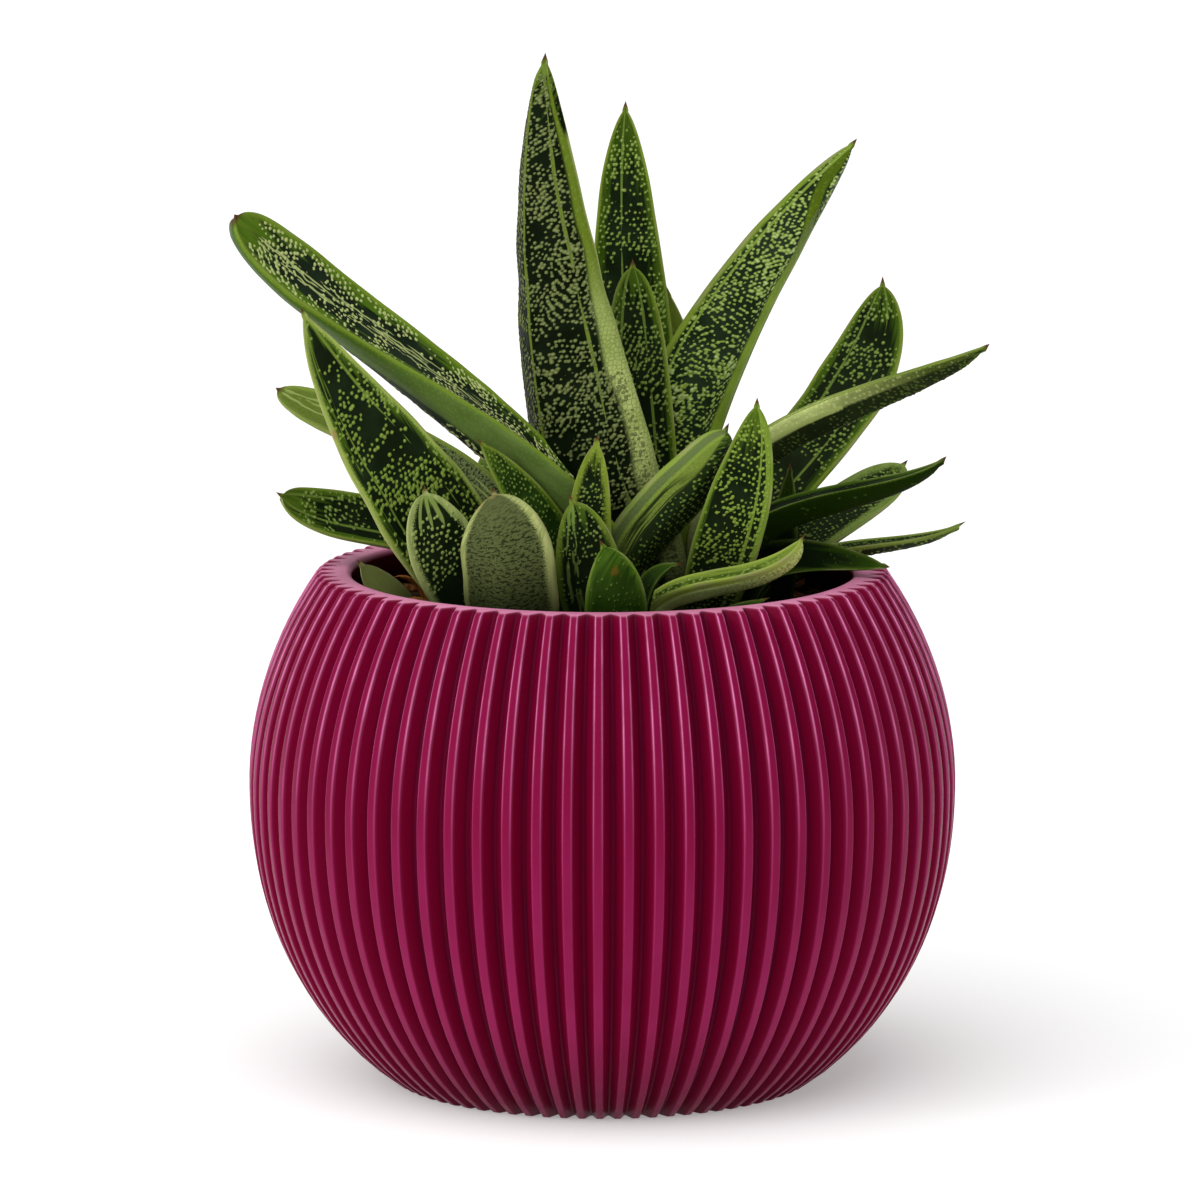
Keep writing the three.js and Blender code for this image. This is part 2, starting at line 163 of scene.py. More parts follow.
# One material's nodes. Colours are linear red, green and blue.
class Shading:
    def __init__(self, name):
        self.material = bpy.data.materials.new(name)
        self.material.use_nodes = True
        self.tree = self.material.node_tree
        self.tree.nodes.clear()
        output = self.node("ShaderNodeOutputMaterial")
        self.shader = self.node("ShaderNodeBsdfPrincipled")
        self.tree.links.new(self.shader.outputs[0], output.inputs["Surface"])

    def fill(self, made, values):
        # values go to sockets by name or number, and a socket among them is linked
        for key, value in values.items():
            socket = made.inputs[key]
            if isinstance(value, bpy.types.NodeSocket):
                self.tree.links.new(value, socket)
            elif socket.type == "RGBA":
                socket.default_value = (*value, 1.0)
            else:
                socket.default_value = value

    def node(self, kind, values=None, **settings):
        made = self.tree.nodes.new(kind)
        for key, value in settings.items():
            setattr(made, key, value)
        self.fill(made, values or {})
        return made

    def math(self, operation, first, second):
        return self.node("ShaderNodeMath", {0: first, 1: second}, operation=operation).outputs[0]

    def ease(self, value, low, high, start=0.0, end=1.0):
        # the same curve as easeBetween, from start to end
        values = {"Value": value, "From Min": low, "From Max": high, "To Min": start, "To Max": end}
        return self.node("ShaderNodeMapRange", values, interpolation_type="SMOOTHSTEP").outputs[0]

    def mix(self, factor, first, second):
        return self.node("ShaderNodeMix", {0: factor, 6: first, 7: second}, data_type="RGBA").outputs[2]

    def read(self, label, output="Fac"):
        return self.node("ShaderNodeAttribute", attribute_name=label).outputs[output]

    def part(self, vector, number):
        return self.node("ShaderNodeSeparateXYZ", {0: vector}).outputs[number]

    def noise(self, place, scale, detail=3.0, roughness=0.5, stretch=(1.0, 1.0, 1.0)):
        spread = self.node("ShaderNodeMapping", {"Vector": place, "Scale": stretch}).outputs[0]
        values = {"Vector": spread, "Scale": scale, "Detail": detail, "Roughness": roughness}
        return self.node("ShaderNodeTexNoise", values).outputs["Fac"]

    def cells(self, place, feature, scale, randomness=1.0):
        values = {"Vector": place, "Scale": scale, "Randomness": randomness}
        made = self.node("ShaderNodeTexVoronoi", values, voronoi_dimensions="2D", feature=feature)
        return made.outputs["Distance"]

    def bump(self, height, distance, strength, under=None):
        values = {"Height": height, "Distance": distance, "Strength": strength}
        if under is not None:
            values["Normal"] = under
        return self.node("ShaderNodeBump", values).outputs[0]

    def finish(self, tone, rough, normal, gloss, tint=(1.0, 1.0, 1.0)):
        values = {"Base Color": tone, "Roughness": rough, "Normal": normal}
        self.fill(self.shader, {**values, "Specular IOR Level": gloss, "Specular Tint": tint})
        return self.material


# Pot: 74 ribs on a round body; the outline is two half superellipses that meet at the widest height.
# "crestHigh" and "crestLow" are the share of a rib's width that its flat crest takes at the rim and at the
# foot, "lipMiddle" the share of the wall where the ribs have nearly run out in the flat ring, and the two
# rows of steps are degrees round the ring's outer and inner corner.
pot = {
    "height": 116.3,
    "radius": 80.0,
    "widest": 68.6,
    "shoulderReach": 83.2,
    "shoulderPower": 1.92,
    "bellyReach": 82.5,
    "bellyPower": 2.16,
    "wall": 7.7,
    "floor": 6.0,
    "ribs": 74,
    "ribDepth": 3.3,
    "crestHigh": 0.27,
    "crestLow": 0.34,
    "valleyShare": 0.12,
    "startDegrees": -90.7,
    "footRing": 41.0,
    "footRound": 0.8,
    "footRise": 0.3,
    "outerRows": 34,
    "rimRound": 0.8,
    "rimSteps": (25, 50, 75, 90),
    "lipMiddle": 0.62,
    "mouthRound": 1.6,
    "mouthSteps": (0, 30, 60, 90),
    "innerHeights": (110.0, 104.0, 88.0, 68.6, 45.0, 24.0),
}

potLook = {
    "crest": (0.200, 0.0045, 0.0420),
    # painted light from the bright floor on the crests low down
    "crestPaintedFloorLight": (0.250, 0.0130, 0.0740),
    "flank": (0.150, 0.0008, 0.0205),
    # painted shade, in the valleys and towards the foot
    "valley": (0.078, 0.0014, 0.0150),
    # a painted highlight on the crests' edges, above and below the widest height
    "worn": (0.820, 0.2400, 0.5000),
    "paintedHighlightBelow": (0.560, 0.0700, 0.2500),
    # the rim's flat ring: partly dust, partly a painted sheen
    "dust": (0.800, 0.2900, 0.4800),
    "tint": (1.000, 0.140, 0.360),
    "gloss": 0.11,
}


def potRadius(z):
    # radius = R (1 - |z - widest|^p / reach^p)^(1/p), with one reach and power above the widest height and
    # another below
    up = z > pot["widest"]
    reach = np.where(up, pot["shoulderReach"], pot["bellyReach"])
    power = np.where(up, pot["shoulderPower"], pot["bellyPower"])
    part = np.abs(z - pot["widest"]) / reach
    return pot["radius"] * (1.0 - part**power) ** (1.0 / power)


def ribProfile(height):
    # one rib from the middle of its crest to the middle of the next: place in the rib, depth as a share of
    # the whole, and how near to a crest's edge; the crest is flat with a small round at each edge
    lift = height / pot["height"]
    crest = (pot["crestLow"] + (pot["crestHigh"] - pot["crestLow"]) * lift) / 2
    valley = 0.5 - pot["valleyShare"] / 2
    run = valley - crest
    places = np.array([
        0.0, 0.60 * crest, crest - 0.026, crest - 0.009, crest + 0.004, crest + 0.022, crest + 0.22 * run,
        crest + 0.55 * run, valley - 0.12 * run, valley + 0.004, valley + 0.03, 0.5,
    ])
    depth = np.array([0.0, 0.0, 0.004, 0.022, 0.062, 0.125, 0.270, 0.580, 0.880, 0.965, 0.994, 1.0])
    edge = np.array([0.0, 0.0, 0.25, 1.0, 1.0, 0.20, 0.0, 0.0, 0.0, 0.0, 0.0, 0.0])
    mirror = slice(-2, 0, -1)
    places = np.concatenate([places, 1.0 - places[mirror]])
    return places, np.concatenate([depth, depth[mirror]]), np.concatenate([edge, edge[mirror]])


def potRows():
    # the outline from the foot's middle up the outside, over the rim and down inside:
    # radius, height, share of the ribs' depth, sharpness of the crest's edges, and how much it is rim
    height, foot = pot["height"], pot["footRound"]
    rows = [(pot["footRing"], 0.0, 0.0, 0.0, 0.0), (potRadius(0.0) - foot, 0.0, 1.0, 0.0, 0.0)]
    for number, z in enumerate(np.linspace(pot["footRise"], height - pot["rimRound"], pot["outerRows"])):
        inset = 0.3 * foot if number == 0 else 0.0
        rows.append((potRadius(z) - inset, z, 1.0, 1.0, 0.0))
    rim = potRadius(height)
    mouth = rim - pot["wall"]
    for step in pot["rimSteps"]:
        a = math.radians(step)
        back, drop = pot["rimRound"] * (1 - math.cos(a)), pot["rimRound"] * (1 - math.sin(a))
        rows.append((rim - back, height - drop, 1.0, 0.8, (step / 90) ** 4))
    rows.append((rim - pot["lipMiddle"] * pot["wall"], height, 0.10, 0.0, 1.0))
    for step in pot["mouthSteps"]:
        a = math.radians(step)
        lean, drop = pot["mouthRound"] * (1 - math.sin(a)), pot["mouthRound"] * (1 - math.cos(a))
        rows.append((mouth + lean, height - drop, 0.0, 0.0, 1.0 - step / 90))
    for z in (*pot["innerHeights"], pot["floor"]):
        rows.append((potRadius(z) - pot["wall"], z, 0.0, 0.0, 0.0))
    return rows


def makePot(material):
    ribs = pot["ribs"]
    rows = potRows()
    points, crests, edges, rims = [], [], [], []
    for radius, z, share, sharpness, onRim in rows:
        places, depth, edge = ribProfile(z)
        angle = (np.arange(ribs)[:, None] + places[None, :]).ravel() * 2 * math.pi / ribs
        angle = angle + math.radians(pot["startDegrees"])
        r = radius - share * pot["ribDepth"] * np.tile(depth, ribs)
        points.append(np.stack([r * np.cos(angle), r * np.sin(angle), np.full(len(angle), z)], axis=-1))
        crests.append(1 - share * np.tile(depth, ribs))
        edges.append(sharpness * np.tile(edge, ribs))
        rims.append(np.full(len(angle), onRim))
    points = np.concatenate(points + [[[0, 0, 0], [0, 0, pot["floor"]]]])
    attributes = {
        "crest": np.concatenate(crests + [[0.9, 0.9]]),
        "sharp": np.concatenate(edges + [[0.0, 0.0]]),
        "rim": np.concatenate(rims + [[0.0, 0.0]]),
    }
    faces = tubeFaces(len(rows), len(angle))
    makePiece("ribbedPot", points, faces, attributes, material, "pot")


def potMaterial(look):
    shade = Shading("raspberryPot")
    place = shade.node("ShaderNodeTexCoord").outputs["Object"]
    height = shade.part(place, 2)
    crest = shade.read("crest")
    cloud = shade.noise(place, 45.0, detail=4.0)
    grain = shade.noise(place, 1600.0, detail=2.0)
    streaks = shade.noise(place, 300.0, stretch=(1.0, 1.0, 0.12))
    # painted shade: the valleys between the ribs are darker than the flanks
    lowHalf = shade.mix(shade.ease(crest, 0.0, 0.22), look["valley"], look["flank"])
    # painted light: the crests are paler and mauver low down, where the bright floor lights them
    crestTone = shade.mix(shade.ease(height, 0.030, 0.095), look["crestPaintedFloorLight"], look["crest"])
    tone = shade.mix(shade.ease(crest, 0.93, 1.0), lowHalf, crestTone)
    tone = shade.mix(shade.ease(cloud, 0.3, 0.75, 0.0, 0.35), tone, look["flank"])
    # painted highlight: the crests' edges are palest above the widest height
    highlightShare = shade.math("MULTIPLY", shade.read("sharp"), shade.ease(streaks, 0.35, 0.7, 0.55, 1.0))
    highlightShare = shade.math("MULTIPLY", highlightShare, shade.ease(height, 0.035, 0.105, 0.14, 0.95))
    highlightTone = shade.mix(shade.ease(height, 0.060, 0.105), look["paintedHighlightBelow"], look["worn"])
    tone = shade.mix(highlightShare, tone, highlightTone)
    # the flat ring on the rim is paler: partly dust, partly a painted sheen
    dustAndSheenShare = shade.math("MULTIPLY", shade.read("rim"), shade.ease(cloud, 0.3, 0.7, 0.70, 1.0))
    tone = shade.mix(dustAndSheenShare, tone, look["dust"])
    # painted shade: darker towards the foot, where the pot meets the floor
    tone = shade.mix(shade.ease(height, 0.0, 0.030, 0.55, 0.0), tone, look["valley"])
    rough = shade.ease(streaks, 0.3, 0.7, 0.28, 0.40)
    rough = shade.math("ADD", shade.ease(grain, 0.3, 0.7, 0.0, 0.10), rough)
    normal = shade.bump(streaks, 0.00010, 0.25, shade.bump(grain, 0.00004, 0.35))
    return shade.finish(tone, rough, normal, look["gloss"], look["tint"])


makePot(potMaterial(potLook))
print("pot made")


# Leaves. Each has its centre line from the soil to the tip in millimetres, the way its upper side faces in
# degrees, and its sizes. "look" names its markings.
leafShape = {
    "turn": 0.0,
    "twist": 0.0,
    "thick": 5.0,
    "keel": 0.0,
    "hollow": 0.15,
    "belly": 0.35,
    "taper": 1.8,
    "round": 0.65,
    "foot": 0.6,
    "spine": 2.0,
    "step": 0.5,
    "fine": "upper",
    "look": "dotted",
    "slot": "leaf",
    "spots": [],              # blemishes: place across, distance from the tip, radius
}

leaves = {
    "leaf_centre_tall": dict(
        path=[(9, -3, 104), (-2.2, -6, 145.3), (-9.6, -12, 186), (-12.6, -22, 235.7)],
        faces=235, width=36, thick=11, keel=-0.45, belly=0.15, taper=1.2, round=0.67, step=0.4,
        fine="lower", look="tall",
    ),
    "leaf_centre_second": dict(
        path=[(12, 19, 104), (10, 20, 130), (6.8, 25, 168), (5.3, 34, 219)],
        faces=90, width=18.5, belly=0.4, taper=2.2, foot=0.5, step=0.42, look="second",
    ),
    "leaf_right_high": dict(
        path=[(11, 13.5, 104), (17.5, 14.5, 148.3), (34, 18, 180.2), (57.8, 24, 211.5)],
        faces=0, turn=-75, width=21, thick=10, keel=0.3, belly=0.3, taper=1.5, foot=0.5, step=0.4,
        fine="lower", look="high",
    ),
    "leaf_centre_third": dict(
        path=[(12.5, 1, 104), (11, 1, 125), (8.6, 1.5, 154), (6.8, 2, 186.8)],
        faces=90, width=14.5, thick=3.4, belly=0.5, taper=3.2, round=0.55, foot=0.5, step=0.42,
        look="sparse",
    ),
    "leaf_left_long": dict(
        path=[(14, -14, 104), (-6, -15, 138), (-49.6, -18, 173.0), (-81.4, -28, 200.4)],
        faces=180, turn=22, twist=-75, width=16, thick=14, belly=0.6, taper=5.5, round=0.5, foot=0.35,
        spine=1, step=0.4, look="long",
    ),
    "leaf_right_long": dict(
        path=[(23, 0, 104), (27, 0, 139.5), (47, -6, 154), (86.2, -20, 170.5)],
        faces=0, turn=-5, width=9.5, thick=13, belly=0.4, taper=2, step=0.4, fine="lower", look="shaded",
    ),
    "leaf_right_upper": dict(
        path=[(24, 17, 104), (33.5, 20, 125), (50.4, 28, 144.9), (64.3, 40, 178)],
        faces=75, width=18, thick=6, belly=0.62, taper=2.8, round=0.62, step=0.42, look="sparse",
    ),
    "leaf_right_middle": dict(
        path=[(26, -8, 104), (33, -8, 128.2), (50.8, -12, 135.8), (76.6, -24, 145.8)],
        faces=0, turn=5, width=9, thick=8, belly=0.3, taper=1.6, step=0.45, look="plain",
    ),
    "leaf_front_right": dict(
        path=[(22, -22, 104), (27, -25, 124), (31.5, -26, 140), (34.4, -26, 159.3)],
        faces=80, width=15, thick=6.5, belly=0.42, taper=2, step=0.4, look="striped",
    ),
    "leaf_slanting": dict(
        path=[(2, -17, 104), (9, -17, 127.5), (21.5, -18, 141.8), (28.3, -17, 152.3)],
        faces=0, turn=-70, width=14, thick=8, belly=0.5, taper=3.5, round=0.5, step=0.4, fine="lower",
        look="slanting",
    ),
    "leaf_left_spear": dict(
        path=[(-22, -18, 104), (-39.5, -24, 134.3), (-50.3, -28, 150.5), (-66.4, -38, 181)],
        faces=180, turn=-65, width=24, thick=6.5, taper=1.6, round=0.8, step=0.42, look="spear",
        spots=[(0.95, 29.0, 1.0)],
    ),
    "leaf_stubby": dict(
        path=[(-19, -32, 104), (-20, -36, 114), (-21, -40, 126), (-24.5, -38.5, 141.3)],
        faces=255, width=22, thick=8.5, belly=0.4, taper=3, round=0.55, foot=0.7, step=0.4, fine="lower",
        look="scaly", spots=[(0.0, 1.2, 1.8), (-0.8, 3.5, 0.9)],
    ),
    "leaf_left_front": dict(
        path=[(-25, -27, 104), (-30, -31, 115), (-35.5, -34, 127), (-39.5, -34, 141)],
        faces=180, turn=-65, width=17, thick=6, belly=0.5, taper=2.6, round=0.55, step=0.4, look="fanned",
    ),
    "leaf_left_inner": dict(
        path=[(-5, -20, 104), (-8, -21, 119), (-15.5, -23, 133.5), (-27.8, -26, 150)],
        faces=180, turn=-50, width=13, thick=4.5, belly=0.4, taper=1.6, step=0.42, look="inner",
    ),
    "leaf_small_pointed": dict(
        path=[(-1, -25, 104), (-2.8, -25, 118), (-2.8, -25, 132.5), (-1, -24, 150.7)],
        faces=90, width=10, thick=3.6, belly=0.5, taper=2, step=0.36, look="pointed",
    ),
    "leaf_left_back": dict(
        path=[(-14, 9, 104), (-26, 12, 130.7), (-45.2, 15, 142.7), (-74.5, 24, 154.4)],
        faces=180, turn=-35, width=14, thick=6, belly=0.5, taper=4, round=0.5, spine=1, look="scalyBack",
    ),
    "leaf_left_low": dict(
        path=[(-24, 14, 104), (-34, 12, 120), (-49.3, 10, 125.4), (-73.8, 4, 133.4)],
        faces=180, turn=-50, width=12.5, thick=5.5, belly=0.6, taper=3.5, round=0.55, step=0.45,
    ),
    "leaf_right_broad": dict(
        path=[(37, 14, 104), (43, 15, 117.8), (52.1, 18, 125.4), (69.9, 28, 137.2)],
        faces=0, turn=50, width=13, belly=0.6, taper=3, round=0.55, step=0.42, look="broad",
    ),
    "leaf_right_low": dict(
        path=[(34, 6, 104), (45, 7, 117.5), (61, 9, 121), (82.5, 10, 125.8)],
        faces=0, turn=10, width=6, thick=4.5, belly=0.3, taper=1.6, step=0.42, look="narrow",
    ),
    "leaf_over_rim_right": dict(
        path=[(30, -3, 104), (37, -4, 118.5), (49, -7, 120.4), (64.5, -15, 119.3)],
        faces=0, turn=60, width=10, thick=4, belly=0.2, taper=1.5, foot=0.9, look="plain",
    ),
    "leaf_front": dict(
        path=[(-1, -31, 104), (-2, -32, 112), (-3, -32.5, 121.5), (-7.5, -30, 138.3)],
        faces=80, width=15, thick=4, belly=0.4, taper=2.6, step=0.4, look="fringed",
    ),
    "leaf_front_small": dict(
        path=[(3, -43, 104), (3, -47, 111), (2.8, -49, 119), (-0.7, -47, 130.8)],
        faces=270, width=14, thick=4, belly=0.4, taper=2.4, step=0.4, fine="lower", look="young",
        spots=[(0.18, 7.6, 1.1)],
    ),
    "leaf_front_tiny": dict(
        path=[(8, -33, 104), (8, -35, 113), (11, -36, 120.5), (18.2, -36, 123.5)],
        faces=0, turn=30, width=8, thick=3.5, look="plain", slot="pale_leaf",
    ),
    "leaf_curved_pale": dict(
        path=[(7, -28, 104), (13.5, -30, 116), (28, -33, 120.6), (45, -35, 130.2)],
        faces=0, turn=12, width=6.5, thick=6.5, belly=0.5, taper=4, round=0.5, foot=0.8, step=0.36,
        fine="lower", look="pale", slot="pale_leaf",
    ),
    "leaf_front_low": dict(
        path=[(20, -35, 104), (24, -37, 109.5), (30, -39, 113.5), (37.3, -39, 116.5)],
        faces=0, turn=20, width=7, thick=3.2, look="plain",
    ),
    "leaf_rim_left": dict(
        path=[(-43, -2, 104), (-46.5, -4, 109), (-51, -6, 114.5), (-55.3, -8, 120)],
        faces=180, turn=-60, width=9, thick=3, look="dull",
    ),
    "leaf_dark_inner": dict(
        path=[(40, 2, 104), (40.5, 3, 118), (41.5, 4, 129), (42.5, 5, 140)],
        faces=60, width=8, thick=3.6, look="plain",
    ),
    "leaf_centre_fourth": dict(
        path=[(23, 20, 104), (22.5, 23, 122), (20, 27, 147), (14.6, 30, 177)],
        faces=60, width=13, thick=4.5, look="yellow",
    ),
    "leaf_back_upright": dict(
        path=[(13, 27, 104), (16, 31, 124), (19, 36, 146), (20, 41, 165)],
        faces=80, width=14, thick=6, fine="lower",
    ),
    "leaf_back_leaning": dict(
        path=[(1, 25, 104), (-1, 30, 122), (-4, 38, 143), (-6, 47, 163)],
        faces=100, width=14, thick=6, fine="lower", look="sparse",
    ),
    "leaf_back_low_left": dict(
        path=[(-10, 24, 104), (-17, 33, 117), (-23, 44, 127), (-28, 60, 134)],
        faces=115, width=13, thick=6, fine="lower",
    ),
    "leaf_back_low_right": dict(
        path=[(26, 27, 104), (31, 36, 116), (35, 46, 123), (40, 61, 128.5)],
        faces=65, width=12, thick=6, fine="lower", look="sparse",
    ),
    "leaf_back_middle": dict(
        path=[(7, 36, 104), (7.5, 42, 115), (7, 51, 124), (6, 63, 131)],
        faces=90, width=13, thick=5.5, fine="lower",
    ),
    "leaf_back_far_left": dict(
        path=[(-23, 27, 104), (-30, 33, 114), (-37, 40, 121), (-46, 48, 127)],
        faces=135, width=10, fine="lower", look="fringed",
    ),
    "leaf_back_left_upright": dict(
        path=[(-8, 31, 104), (-14, 38, 122), (-20, 46, 138), (-27, 54, 150)],
        faces=110, width=12, fine="lower", look="sparse",
    ),
    "leaf_back_right_upright": dict(
        path=[(31, 27, 104), (37, 34, 120), (42, 42, 133), (47, 50, 143)],
        faces=55, width=12, fine="lower",
    ),
    "leaf_back_small": dict(
        path=[(20, 38, 104), (23, 43, 114), (25.5, 49, 121.5), (28, 57, 127)],
        faces=75, width=9, thick=4.5, fine="lower", look="fringed",
    ),
}

# Markings. Sizes are in millimetres; "cover" is the share of warts that show, "bands" how strongly they
# gather in bands across the leaf, "merge" how loosely neighbours run together (less is looser), "fringe" how
# far the green margin reaches in. "plainFlank" is the stretch of the lower side, from -1 to 1 across, that is
# plain green, and "plainWarts" the share of its warts that show all the same.
leafMarks = {
    "dark": (0.0040, 0.0090, 0.0026),
    "bloom": (0.0095, 0.0180, 0.0066),
    "green": (0.056, 0.118, 0.007),
    "wart": (0.310, 0.400, 0.125),
    # painted shade: a wart's tone darkens towards its rim
    "wartRimShade": None,          # a wart's tone towards its rim, the streaks' where none is given
    "streak": (0.140, 0.215, 0.036),
    "margin": (0.175, 0.250, 0.028),
    "edge": (0.280, 0.290, 0.120),
    "plain": (0.058, 0.112, 0.014),
    "plainPale": (0.150, 0.210, 0.052),
    "strip": None,            # beside the margin of a flank with lines
    "spine": (0.085, 0.040, 0.015),
    "spot": (0.200, 0.085, 0.012),
    "tint": (0.850, 1.000, 0.450),
    "gloss": 0.05,
    "pitch": 1.26,
    "wide": 1.0,              # how much wider than long the warts are, for a side seen at a slant
    "wartRadius": 0.44,
    "merge": 1.9,
    "cover": 0.86,
    "edgeDots": 0.0,          # more warts near the edges than in the middle
    "bands": 2.9,
    "bandHeight": 3.0,
    "relief": 0.24,
    "fringe": 1.6,
    "tipGreen": 10.0,
    "mix": 0.55,              # share of the margin's tone in the green beside it
    "streaks": (-0.58, 0.42),
    "streakWidth": 0.32,
    "streakBreaks": 7.0,      # length over which a streak swells and thins
    "streakStart": 3.0,       # distance from the tip where the streaks start
    "scribble": 0.0,          # how far a streak jumps from side to side
    "fan": 0.0,               # streaks only this near the tip
    "keelLine": 0.30,
    "plainFlank": None,
    "tipDrift": (0.0, 0.0),   # how far the plain stretch's two ends move across near the tip
    "flankNarrows": 0.0,      # how far its start moves across in the leaf's upper half
    "plainUpper": False,
    "plainWarts": 0.1,
    "baseWarts": 0.0,         # on a plain flank, warts come this far from the tip
    "paleFrom": (25.0, 90.0),       # distances from the tip between which a plain flank grows pale
    "edgePale": 0.0,          # how pale a plain flank is beside the margin
    "specks": 0.35,           # small pale specks on a plain flank
    "cobbles": 0.0,           # dark gaps between merged warts on a plain flank
    "lines": 0.0,             # dark lines that run along a plain flank
    "scales": 0.0,            # dark scales on a plain flank
    "scalesFrom": (1.0, 12.0),      # distances from the tip where they are fewest and where they are full
    "scaleSize": 1.25,
    "marginWidth": 0.5,
    "marginWraps": 1.0,       # 1 where the pale margin goes round the edge, 0 where it keeps to one corner
    "footShade": 34.0,        # distance from the root over which the leaf is darker
}

# Looks whose flanks are plain all over start from this
allPlain = dict(plainFlank=(-1.3, 1.3), plainWarts=0.0, keelLine=0.0, streaks=())

